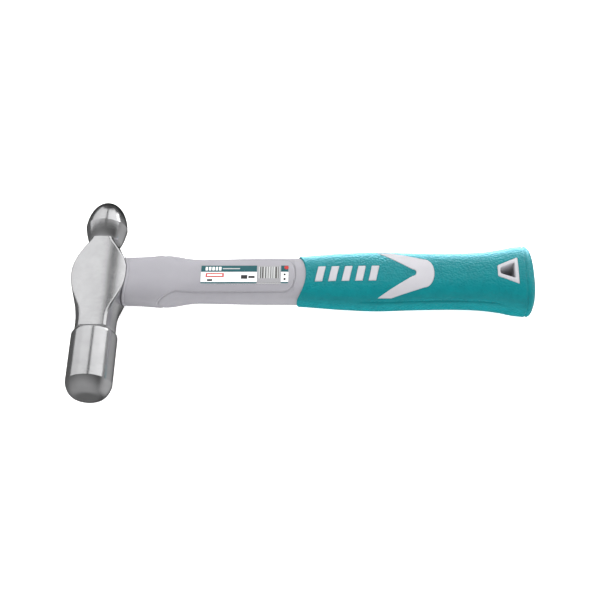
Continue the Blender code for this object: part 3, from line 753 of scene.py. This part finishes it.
def jacket_relief(x, y, z):
    """Height of the jacket's bead, tongue and the fine groove around the tongue."""
    from_head = x - np.array([flank_x(a, b) for a, b in zip(y, z)]) - SEAM_GAP
    bead = BEAD_HEIGHT * (1 - smooth_step((from_head - BEAD_WIDTH + BEAD_EDGE) / BEAD_EDGE))
    bead -= 0.5 * BEAD_HEIGHT * bell(from_head - BEAD_WIDTH - BEAD_GROOVE_OFFSET, BEAD_GROOVE_WIDTH)
    bead -= BEAD_HEIGHT * (1 - smooth_step(from_head / BEAD_MOUTH))
    offsets = np.stack([x, np.abs(y)], axis=1)[:, None, :] - TONGUE_LINE[None, :, :]
    distance = np.sqrt((offsets ** 2).sum(axis=2)).min(axis=1)
    edge = np.array([tongue_edge(place) for place in x])
    distance = np.where((np.abs(y) < edge) | (x < TONGUE_FLARE_START), distance, -distance)
    step = TONGUE_HEIGHT * smooth_step(distance / TONGUE_STEP + 0.5)
    groove = TONGUE_GROOVE * bell(distance + TONGUE_GROOVE_OFFSET, TONGUE_GROOVE_WIDTH)
    return bead + step - groove


def neck_place(u):
    """Placing rule of the neck's section u: along the head's flank, then flat, then along the grip's edge."""
    def place(y, z):
        if u < NECK_PLAIN:
            start = flank_x(y, z) + SEAM_GAP
            return start + (NECK_PLAIN - start) * (u - NECK_START) / (NECK_PLAIN - NECK_START)
        if u < NECK_SWEPT:
            return u
        end = grip_front(y) + GRIP_LIP
        return NECK_SWEPT + (u - NECK_SWEPT) * (end - NECK_SWEPT) / (GRIP_FRONT - NECK_SWEPT)
    return place


def neck_rows():
    """Section places along the neck, closer together at the bead and at the tongue's tip."""
    bead_end = NECK_START + 1.2 * MM
    return joined((NECK_START, bead_end, 0.08 * MM), (bead_end, 34 * MM, 0.5 * MM),
                  (34 * MM, 54 * MM, 0.3 * MM), (54 * MM, 108 * MM, 0.9 * MM),
                  (108 * MM, 113.5 * MM, 0.25 * MM), (113.5 * MM, 118.5 * MM, 0.12 * MM),
                  (118.5 * MM, GRIP_FRONT, 0.5 * MM))


def tail_sizes(x, grow=0.0):
    """Half sizes at x of the jacket's tail, which fills the grip up to its wall."""
    return [size - GRIP_WALL + grow for size in outline_at(GRIP_OUTLINE, x)]


def bore_ring(place):
    """Ring of the bore that the core fills."""
    quarter = superellipse_quarter(*BORE_HALF, OVAL_ROUNDNESS)
    ring = mirrored(spaced(quarter, NECK_QUARTER, 0.0))
    return [(place(y, z), y, z) for y, z in ring]


def tongue_focus(u):
    """Weighting that draws a section's points to the tongue's edge, fading in along its flare."""
    edge = tongue_edge(u)
    strength = 14.0 * float(smooth_step((u - TONGUE_FLARE_START - 1 * MM) / (5 * MM)))
    return lambda points: strength * bell(points[:, 0] - edge + 0.2 * MM, 0.7 * MM)


def build_jacket(material):
    """Jacket: collar and neck with its tongue, and the tail under the grip."""
    rings = [handle_ring(outline_at(NECK_OUTLINE, u), NECK_QUARTER, neck_place(u), jacket_relief,
                         tongue_focus(u)) for u in neck_rows()]
    rings.append(handle_ring(tail_sizes(GRIP_FRONT), NECK_QUARTER, neck_place(GRIP_FRONT)))
    for x in spread(132 * MM, BUTT_START, 8 * MM):
        rings.append(handle_ring(tail_sizes(x), NECK_QUARTER, at(x)))
    rings += domed_rings(tail_sizes(BUTT_START), TAIL_LENGTH, NECK_QUARTER, 5)
    tip = (BUTT_START + TAIL_LENGTH, 0, 0)
    mouth = bore_ring(lambda y, z: flank_x(y, z) + SEAM_GAP)
    depth = CORE_END + 0.3 * MM
    inside = [bore_ring(at(x)) for x in (120 * MM, depth)]
    rings = list(reversed(inside)) + [mouth] + rings
    jacket = rings_mesh("grey_jacket", rings, (depth, 0, 0), tip)
    hole = [inset(trapezoid(LINER_X, LINER_HALF_WIDTHS), -SEAM_GAP)]
    cut(jacket, prism_mesh("hole_cutter", hole, -CUTTER_REACH, CUTTER_REACH))
    finish_piece(jacket, "handle_jacket", material)


# ---------------------------------------------------------------- grip

def grip_relief(x, y, z):
    """Rounded front lip, the crease along each side and the line around the butt."""
    from_front = np.clip(x - grip_front(y), 0.0, GRIP_LIP)
    lip = GRIP_LIP - np.sqrt(GRIP_LIP ** 2 - (GRIP_LIP - from_front) ** 2)
    along = smooth_step((x - CREASE_START) / CREASE_FADE) * smooth_step((CREASE_END - x) / CREASE_FADE)
    crease = CREASE_DEPTH * along * bell(np.abs(z) - CREASE_Z, CREASE_WIDTH)
    rim = RIM_CREASE_DEPTH * bell(x - BUTT_START, RIM_CREASE_WIDTH)
    return -lip - crease - rim


def grip_place(u):
    """Placing rule of the grip's section u: it follows the curved front edge, then runs flat."""
    def place(y, z):
        if u >= GRIP_PLAIN:
            return u
        return GRIP_PLAIN - (GRIP_PLAIN - u) * (GRIP_PLAIN - grip_front(y)) / (GRIP_PLAIN - GRIP_FRONT)
    return place


def grip_rows():
    """Section places along the grip, closer together at its lip and at the line around the butt."""
    rim = BUTT_START - 1.5 * MM
    return joined((GRIP_FRONT, GRIP_FRONT + GRIP_LIP, 0.1 * MM), (GRIP_FRONT + GRIP_LIP, rim, 0.9 * MM),
                  (rim, BUTT_START, 0.15 * MM))


def crease_focus(points):
    """Weighting that draws a section's points to the crease."""
    return 5.0 * bell(points[:, 1] - CREASE_Z, 0.9 * MM)


def build_grip(material):
    """Soft sleeve with its windows, open at the front around the jacket's tail."""
    cavity_length = TAIL_LENGTH + SEAM_GAP
    cavity = [handle_ring(tail_sizes(u, SEAM_GAP), GRIP_QUARTER, grip_place(u))
              for u in [GRIP_FRONT] + spread(GRIP_FRONT + 4 * MM, BUTT_START, 4 * MM)]
    cavity += domed_rings(tail_sizes(BUTT_START, SEAM_GAP), cavity_length, GRIP_QUARTER, 4)
    outer = [handle_ring(outline_at(GRIP_OUTLINE, u), GRIP_QUARTER, grip_place(u), grip_relief, crease_focus)
             for u in grip_rows()]
    outer += domed_rings(outline_at(GRIP_OUTLINE, BUTT_START), BUTT_LENGTH, GRIP_QUARTER, 40, grip_relief)
    rings = list(reversed(cavity)) + outer
    inner_pole = (BUTT_START + cavity_length, 0, 0)
    grip = rings_mesh("rubber_grip", rings, inner_pole, (BUTT_START + BUTT_LENGTH, 0, 0))
    windows = [chevron_outline()] + bar_outlines()
    for side in (1, -1):
        heights = sorted((side * WINDOW_FLOOR, side * CUTTER_REACH))
        cut(grip, prism_mesh("window_cutter", windows, *heights))
    hole = rounded(trapezoid(LINER_X, LINER_HALF_WIDTHS), LINER_CORNER)
    cut(grip, prism_mesh("hole_cutter", [hole], -CUTTER_REACH, CUTTER_REACH))
    finish_piece(grip, "grip_sleeve", material)


# ---------------------------------------------------------------- inlays and label

def inside_outline(point, outline):
    """Whether a point is inside a closed outline."""
    inside = False
    for index, corner in enumerate(outline):
        other = outline[index - 1]
        if (corner.y > point.y) != (other.y > point.y):
            crossing = (other.x - corner.x) * (point.y - corner.y) / (other.y - corner.y) + corner.x
            if point.x < crossing:
                inside = not inside
    return inside


def corner_distance(point, outline):
    """Distance from a point to the outline's nearest corner."""
    return min((point - corner).length for corner in outline)


def filled(loop, spacing):
    """Triangles that fill a closed loop, as points and faces; the loop's own points come first."""
    grid = []
    low_x = min(point.x for point in loop)
    high_x = max(point.x for point in loop)
    low_y = min(point.y for point in loop)
    high_y = max(point.y for point in loop)
    for x in spread(low_x, high_x, spacing):
        for y in spread(low_y, high_y, spacing):
            point = Vector((x, y))
            if inside_outline(point, loop) and corner_distance(point, loop) > 0.55 * spacing:
                grid.append(point)
    points = [point / MM for point in loop + grid]
    edges = [(index, (index + 1) % len(loop)) for index in range(len(loop))]
    triangles, sources = delaunay_2d_cdt(points, edges, [], 1, 1e-6)[2:4]
    faces = [tuple(sources[corner][0] for corner in triangle) for triangle in triangles]
    return [Vector(point) * MM for point in points], faces


def inlay_body(outline, side):
    """Points and faces of one closed inlay: a lifted face with a rounded edge, and walls going down."""
    start = inset(outline, SEAM_GAP)
    loops = []
    drops = []
    for turn in (0.0, 0.25, 0.5, 0.75, 1.0):
        angle = turn * math.pi / 2
        sunk = inset(start, INLAY_EDGE * (1 - math.cos(angle)))
        loops.append(divided(sunk, start, INLAY_SPACING))
        drops.append(INLAY_EDGE * (1 - math.sin(angle)))
    count = len(loops[0])

    def lifted(point, height):
        return (point.x, point.y, side * (surface_z(GRIP_OUTLINE, point.x, point.y) + height))

    points = [lifted(point, -INLAY_DEPTH) for point in loops[0]]
    for loop, drop in zip(loops, drops):
        points += [lifted(point, INLAY_LIFT - drop) for point in loop]
    faces = []
    for row in range(len(loops)):
        faces += band(row * count, (row + 1) * count, count)
    for loop, height, first in ((loops[-1], INLAY_LIFT, len(loops) * count), (loops[0], -INLAY_DEPTH, 0)):
        fill_points, triangles = filled(loop, INLAY_SPACING)
        offset = len(points)
        points += [lifted(point, height) for point in fill_points[count:]]
        for triangle in triangles:
            faces.append(tuple(first + corner if corner < count else offset + corner - count
                               for corner in triangle))
    return points, faces


def build_inlay(name, outlines, side, node, material):
    """Inlays of one face of the grip; side is 1 for its front and -1 for its back."""
    points = []
    faces = []
    for outline in outlines:
        body_points, body_faces = inlay_body(outline, side)
        offset = len(points)
        points += body_points
        faces += [tuple(offset + corner for corner in face) for face in body_faces]
    item = place_mesh(name, points, faces)
    finish_piece(item, node, material)


def build_liner(material):
    """Sleeve of the hang hole: a rounded rim on each face and a straight wall through the handle."""
    guide = rounded(inset(trapezoid(LINER_X, LINER_HALF_WIDTHS), SEAM_GAP), LINER_CORNER)
    outside = divided(guide, guide, INLAY_SPACING)
    inside = divided(rounded(trapezoid(HOLE_X, HOLE_HALF_WIDTHS), HOLE_CORNER), guide, INLAY_SPACING)
    profile = []
    for turn in (0.0, 0.3, 0.6, 1.0):
        angle = turn * math.pi / 2
        share = LINER_RIM[0] * (1 - math.cos(angle))
        profile.append((share, INLAY_LIFT - INLAY_EDGE * (1 - math.sin(angle))))
    for turn in (1.0, 0.7, 0.4, 0.0):
        angle = turn * math.pi / 2
        share = 1 - LINER_RIM[1] * (1 - math.cos(angle))
        profile.append((share, INLAY_LIFT - LINER_INNER_DROP * (1 - math.sin(angle))))
    loop = [(share, height, 1) for share, height in profile]
    loop += [(share, height, -1) for share, height in reversed(profile)]
    points = []
    for share, height, side in loop:
        for outer, inner in zip(outside, inside):
            point = outer.lerp(inner, share)
            z = surface_z(GRIP_OUTLINE, point.x, point.y) + height
            points.append((point.x, point.y, side * z))
    count = len(outside)
    rows = len(loop)
    faces = []
    for row in range(rows):
        faces += band(row * count, (row + 1) % rows * count, count)
    item = place_mesh("hole_liner", points, faces)
    finish_piece(item, "hang_hole_liner", material)


def build_label():
    """Sticker on the tongue's front face, divided along the edges of its printed blocks."""
    length = (LABEL_X[1] - LABEL_X[0]) / MM
    half = LABEL_HALF_WIDTH / MM
    across = {0.0, length}
    upward = {-half, half}
    for x0, x1, y0, y1, ink in LABEL_BLOCKS:
        across |= {x0, x1}
        upward |= {y0, y1}
    across = sorted(across | set(spread(0.0, length, LABEL_SPACING[0])))
    upward = sorted(upward | set(spread(-half, half, LABEL_SPACING[1])))
    points = []
    for lift in (TONGUE_HEIGHT + 0.02 * MM, TONGUE_HEIGHT + LABEL_LIFT):
        for x in across:
            for y in upward:
                z = surface_z(NECK_OUTLINE, LABEL_X[0] + x * MM, y * MM) + lift
                points.append((LABEL_X[0] + x * MM, y * MM, z))
    columns = len(upward)
    layer = len(across) * columns
    faces = []
    paints = []
    for i in range(len(across) - 1):
        for j in range(columns - 1):
            corner = i * columns + j
            quad = (corner, corner + columns, corner + columns + 1, corner + 1)
            middle_x = (across[i] + across[i + 1]) / 2
            middle_y = (upward[j] + upward[j + 1]) / 2
            paint = "label_white"
            for x0, x1, y0, y1, ink in LABEL_BLOCKS:
                if x0 < middle_x < x1 and y0 < middle_y < y1:
                    paint = ink
            faces += [quad, tuple(layer + index for index in quad)]
            paints += ["label_white", paint]
    border = [i * columns for i in range(len(across))]
    border += [(len(across) - 1) * columns + j for j in range(1, columns)]
    border += [i * columns + columns - 1 for i in reversed(range(len(across) - 1))]
    border += [j for j in reversed(range(1, columns - 1))]
    for index, start in enumerate(border):
        end = border[(index + 1) % len(border)]
        faces.append((start, end, layer + end, layer + start))
        paints.append("label_white")
    dot_x, dot_y, dot_radius, dot_ink = LABEL_DOT
    first = len(points)
    steps = LABEL_DOT_STEPS
    for lift in (LABEL_LIFT, LABEL_LIFT + LABEL_DOT_LIFT):
        for step in range(steps):
            angle = 2 * math.pi * step / steps
            x = LABEL_X[0] + (dot_x + dot_radius * math.cos(angle)) * MM
            y = (dot_y + dot_radius * math.sin(angle)) * MM
            points.append((x, y, surface_z(NECK_OUTLINE, x, y) + TONGUE_HEIGHT + lift))
    faces += band(first, first + steps, steps)
    faces.append(tuple(range(first, first + steps)))
    faces.append(tuple(range(first + steps, first + 2 * steps)))
    paints += [dot_ink] * (steps + 2)
    item = place_mesh("printed_label", points, faces)
    inks = sorted(INKS)
    for name in inks:
        item.data.materials.append(printing_ink(name, INKS[name]))
    for polygon, paint in zip(item.data.polygons, paints):
        polygon.material_index = inks.index(paint)
    finish_piece(item, "product_label", None)


# ---------------------------------------------------------------- materials

class Recipe:
    """A Principled material being made, whose textures read the row frame's coordinates."""

    def __init__(self, name, colour, roughness, metallic=0.0):
        self.material = bpy.data.materials.new(name)
        self.material.use_nodes = True
        self.tree = self.material.node_tree
        self.shader = self.tree.nodes["Principled BSDF"]
        self.shader.inputs["Base Color"].default_value = (*colour, 1.0)
        self.shader.inputs["Roughness"].default_value = roughness
        self.shader.inputs["Metallic"].default_value = metallic
        self.place = self.node("ShaderNodeTexCoord").outputs["Object"]
        self.normal = None

    def node(self, kind, **settings):
        made = self.tree.nodes.new(kind)
        for key, value in settings.items():
            setattr(made, key, value)
        return made

    def link(self, source, target):
        self.tree.links.new(source, target)

    def stretched(self, stretch):
        """Coordinates scaled along each axis, so that a texture on them runs in streaks."""
        mapping = self.node("ShaderNodeMapping")
        mapping.inputs["Scale"].default_value = stretch
        self.link(self.place, mapping.inputs["Vector"])
        return mapping.outputs["Vector"]

    def noise(self, size, stretch=(1, 1, 1), detail=3.0, roughness=0.55):
        """Noise whose lumps are about size metres across."""
        texture = self.node("ShaderNodeTexNoise")
        texture.inputs["Scale"].default_value = 1 / size
        texture.inputs["Detail"].default_value = detail
        texture.inputs["Roughness"].default_value = roughness
        self.link(self.stretched(stretch), texture.inputs["Vector"])
        return texture.outputs["Fac"]

    def cells(self, size):
        """Rounded cells about size metres across."""
        texture = self.node("ShaderNodeTexVoronoi", feature='SMOOTH_F1')
        texture.inputs["Scale"].default_value = 1 / size
        self.link(self.place, texture.inputs["Vector"])
        return texture.outputs["Distance"]

    def fit(self, value, to_low, to_high, low=0.3, high=0.7):
        """Value mapped from low..high, where most of a noise lies, to to_low..to_high, and kept there."""
        node = self.node("ShaderNodeMapRange")
        for key, number in (("From Min", low), ("From Max", high), ("To Min", to_low), ("To Max", to_high)):
            node.inputs[key].default_value = number
        self.link(value, node.inputs["Value"])
        return node.outputs["Result"]

    def colours(self, value, first, second, low=0.3, high=0.7):
        """Base colour that runs between two colours with a noise."""
        mix = self.node("ShaderNodeMix", data_type='RGBA')
        ends = {socket.name: socket for socket in mix.inputs if socket.type == 'RGBA'}
        ends["A"].default_value = (*first, 1.0)
        ends["B"].default_value = (*second, 1.0)
        self.link(self.fit(value, 0.0, 1.0, low, high), mix.inputs["Factor"])
        result = [socket for socket in mix.outputs if socket.type == 'RGBA'][0]
        self.link(result, self.shader.inputs["Base Color"])

    def roughen(self, value, low, high):
        """Roughness that runs from low to high with a noise."""
        self.link(self.fit(value, low, high), self.shader.inputs["Roughness"])

    def bump(self, height, distance, strength):
        """Add relief of the given height in metres to the shading."""
        node = self.node("ShaderNodeBump")
        node.inputs["Distance"].default_value = distance
        node.inputs["Strength"].default_value = strength
        self.link(height, node.inputs["Height"])
        if self.normal is not None:
            self.link(self.normal, node.inputs["Normal"])
        self.normal = node.outputs["Normal"]
        self.link(self.normal, self.shader.inputs["Normal"])


def ground_steel():
    """Forged steel, satin ground: faint brushing around the head and a few cloudy patches."""
    steel = Recipe("ground_steel", (0.60, 0.60, 0.61), 0.2, 1.0)
    clouds = steel.noise(9 * MM, detail=4.0)
    steel.colours(clouds, (0.57, 0.57, 0.58), (0.63, 0.63, 0.64))
    streaks = steel.noise(0.5 * MM, (0.15, 1.0, 0.15), 2.0)
    steel.roughen(streaks, 0.17, 0.25)
    steel.bump(streaks, 0.004 * MM, 0.6)
    steel.bump(steel.noise(6 * MM, detail=2.0), 0.05 * MM, 0.5)
    return steel.material


def satin_plastic(name, colour, mottle, clouds, grain, roughness, depth):
    """Hard moulded plastic: colour give or take a mottle in broad clouds, and a fine spark-eroded grain."""
    plastic = Recipe(name, colour, sum(roughness) / 2)
    darker = tuple(value - mottle for value in colour)
    lighter = tuple(value + mottle for value in colour)
    plastic.colours(plastic.noise(clouds), darker, lighter)
    grains = plastic.noise(grain, detail=2.0)
    plastic.roughen(grains, *roughness)
    plastic.bump(grains, depth, 0.5)
    return plastic.material


def teal_rubber():
    """Soft grip: pebbled rubber that sparkles where light grazes it."""
    rubber = Recipe("grip_rubber", (0.0005, 0.145, 0.162), 0.45)
    rubber.shader.inputs["Specular IOR Level"].default_value = 0.17
    clouds = rubber.noise(8 * MM)
    rubber.colours(clouds, (0.0003, 0.137, 0.154), (0.0006, 0.153, 0.170))
    pebbles = rubber.cells(1.2 * MM)
    rubber.roughen(rubber.noise(0.7 * MM), 0.28, 0.45)
    rubber.bump(pebbles, 0.35 * MM, 0.9)
    rubber.bump(rubber.noise(0.3 * MM, detail=1.0), 0.02 * MM, 0.5)
    return rubber.material


def fibreglass():
    """Pultruded rod: glass strands along its length under yellowish resin."""
    glass = Recipe("glass_rod", (0.72, 0.62, 0.30), 0.4)
    strands = glass.noise(0.4 * MM, (0.04, 1.0, 1.0), 3.0)
    glass.colours(strands, (0.62, 0.52, 0.24), (0.80, 0.71, 0.40), 0.35, 0.65)
    glass.roughen(strands, 0.34, 0.5)
    glass.bump(strands, 0.03 * MM, 0.4)
    return glass.material


def cast_resin():
    """Epoxy in the eye: dark, glossy and slightly uneven where it set."""
    resin = Recipe("cast_resin", (0.08, 0.08, 0.085), 0.25)
    swirl = resin.noise(2.5 * MM, detail=2.0)
    resin.colours(swirl, (0.06, 0.06, 0.065), (0.11, 0.11, 0.115))
    resin.roughen(swirl, 0.2, 0.34)
    resin.bump(swirl, 0.12 * MM, 0.5)
    return resin.material


def printing_ink(name, colour):
    """Ink on satin film, with a trace of mottle."""
    ink = Recipe(name, colour, 0.35)
    mottle = ink.noise(0.6 * MM)
    darker = tuple(value * 0.94 for value in colour)
    ink.colours(mottle, darker, colour)
    ink.roughen(mottle, 0.3, 0.4)
    return ink.material


# ---------------------------------------------------------------- studio

def build_studio():
    """Pale floor that curves up into a round wall; mirrors see past it to the dim world."""
    profile = [(radius, 0.0) for radius in spread(0.02, FLOOR_RADIUS, 0.08)]
    for turn in spread(0.0, 1.0, 0.1)[1:]:
        angle = turn * math.pi / 2
        profile.append((FLOOR_RADIUS + WALL_CURVE * math.sin(angle), WALL_CURVE * (1 - math.cos(angle))))
    profile.append((FLOOR_RADIUS + WALL_CURVE, WALL_TOP))
    bm = bmesh.new()
    rings = []
    for radius, height in profile:
        rings.append([
            bm.verts.new((radius * math.cos(2 * math.pi * step / WALL_STEPS),
                          radius * math.sin(2 * math.pi * step / WALL_STEPS), height))
            for step in range(WALL_STEPS)
        ])
    bm.faces.new(rings[0])
    for first, second in zip(rings, rings[1:]):
        for step in range(WALL_STEPS):
            following = (step + 1) % WALL_STEPS
            bm.faces.new((first[step], second[step], second[following], first[following]))
    mesh = bpy.data.meshes.new("studio_sweep")
    bm.to_mesh(mesh)
    bm.free()
    mesh.shade_smooth()
    sweep = bpy.data.objects.new("studio_sweep", mesh)
    bpy.context.collection.objects.link(sweep)
    paper = Recipe("sweep_paper", (0.82, 0.82, 0.82), 0.9)
    paper.colours(paper.noise(0.3), (0.81, 0.81, 0.81), (0.83, 0.83, 0.83))
    paper.shader.inputs["Emission Color"].default_value = (1.0, 1.0, 1.0, 1.0)
    paper.shader.inputs["Emission Strength"].default_value = SWEEP_GLOW
    mesh.materials.append(paper.material)
    sweep.visible_glossy = False
    sweep.visible_shadow = False


def add_area(name, size, radiance, colour=(1.0, 1.0, 1.0)):
    """Rectangular light of the given radiance, which the camera doesn't see."""
    light = bpy.data.lights.new(name, 'AREA')
    light.shape = 'RECTANGLE'
    light.size, light.size_y = size
    light.color = colour
    light.energy = radiance * math.pi * light.size * light.size_y
    item = bpy.data.objects.new(name, light)
    item.visible_camera = False
    bpy.context.collection.objects.link(item)
    return item


def build_lights():
    """Panels above the hammer with a narrow dark gap between them, and the grip's two rim lights."""
    for name, (start, end, radiance, low, high) in PANELS.items():
        middle = math.radians((start + end) / 2)
        width = 2 * PANEL_DISTANCE * math.tan(math.radians(end - start) / 2)
        panel = add_area(name, (width, high - low), radiance)
        panel.rotation_euler = (0.0, middle, 0.0)
        away = Vector((math.sin(middle), 0.0, math.cos(middle))) * PANEL_DISTANCE
        panel.location = Vector((ORIGIN.x, (low + high) / 2, 0.0)) + away
    bpy.data.objects["back_key"].visible_glossy = False
    grip_only = bpy.data.collections.new("grip_only")
    grip_only.objects.link(bpy.data.objects["rubber_grip"])
    for name, (place, size, radiance, colour) in RIM_LIGHTS.items():
        rim = add_area(name, size, radiance, colour)
        rim.location = place
        rim.rotation_euler = (-Vector(place)).to_track_quat('-Z', 'Y').to_euler()
        rim.light_linking.receiver_collection = grip_only
    bpy.data.objects["rim_behind"].visible_diffuse = False
    bpy.data.objects["rim_in_front"].visible_glossy = False


def build_world():
    """Dim room seen only in reflections: greyer overhead, in front and to the right, dark below."""
    world = bpy.data.worlds.new("studio_room")
    world.use_nodes = True
    tree = world.node_tree
    background = tree.nodes["Background"]
    background.inputs["Color"].default_value = (1.0, 1.0, 1.0, 1.0)
    place = tree.nodes.new("ShaderNodeTexCoord").outputs["Generated"]
    glow = None
    for direction, reach, strength in ROOM_GLOWS:
        dot = tree.nodes.new("ShaderNodeVectorMath")
        dot.operation = 'DOT_PRODUCT'
        dot.inputs[1].default_value = Vector(direction).normalized()
        tree.links.new(place, dot.inputs[0])
        fit = tree.nodes.new("ShaderNodeMapRange")
        fit.interpolation_type = 'SMOOTHSTEP'
        fit.inputs["From Min"].default_value = math.cos(math.radians(reach))
        fit.inputs["To Max"].default_value = strength
        tree.links.new(dot.outputs["Value"], fit.inputs["Value"])
        if glow is None:
            glow = fit.outputs["Result"]
        else:
            add = tree.nodes.new("ShaderNodeMath")
            tree.links.new(glow, add.inputs[0])
            tree.links.new(fit.outputs["Result"], add.inputs[1])
            glow = add.outputs["Value"]
    tree.links.new(glow, background.inputs["Strength"])
    bpy.context.scene.world = world


def build_camera():
    """Camera above the hammer, looking down at it from the front."""
    camera = bpy.data.cameras.new("camera")
    camera.lens = CAMERA_LENS
    item = bpy.data.objects.new("camera", camera)
    turn = Euler((math.pi / 2 - CAMERA_ELEVATION, 0.0, CAMERA_AZIMUTH)).to_matrix()
    turn = turn @ Matrix.Rotation(CAMERA_ROLL, 3, 'Z')
    item.rotation_euler = turn.to_euler()
    item.location = CAMERA_AIM + turn @ Vector((0, 0, CAMERA_DISTANCE))
    bpy.context.collection.objects.link(item)
    bpy.context.scene.camera = item
    bpy.context.scene.view_settings.view_transform = 'Standard'


build_head(ground_steel())
build_jacket(satin_plastic("jacket_nylon", (0.266, 0.261, 0.284), 0.008, 14 * MM, 0.35 * MM, (0.38, 0.48),
                           0.012 * MM))
build_grip(teal_rubber())
inlay_plastic = satin_plastic("inlay_plastic", (0.38, 0.375, 0.40), 0.01, 10 * MM, 0.3 * MM, (0.34, 0.46),
                              0.008 * MM)
for side, face in ((1, "front"), (-1, "back")):
    build_inlay(f"chevron_{face}", [chevron_outline()], side, f"chevron_inlay_{face}", inlay_plastic)
    build_inlay(f"bars_{face}", bar_outlines(), side, f"marking_inlay_{face}", inlay_plastic)
build_liner(inlay_plastic)
build_label()
for node, material in (("fibreglass_core", fibreglass()), ("eye_epoxy", cast_resin())):
    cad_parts[node].data.materials.clear()
    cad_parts[node].data.materials.append(material)

build_studio()
build_lights()
build_world()
build_camera()
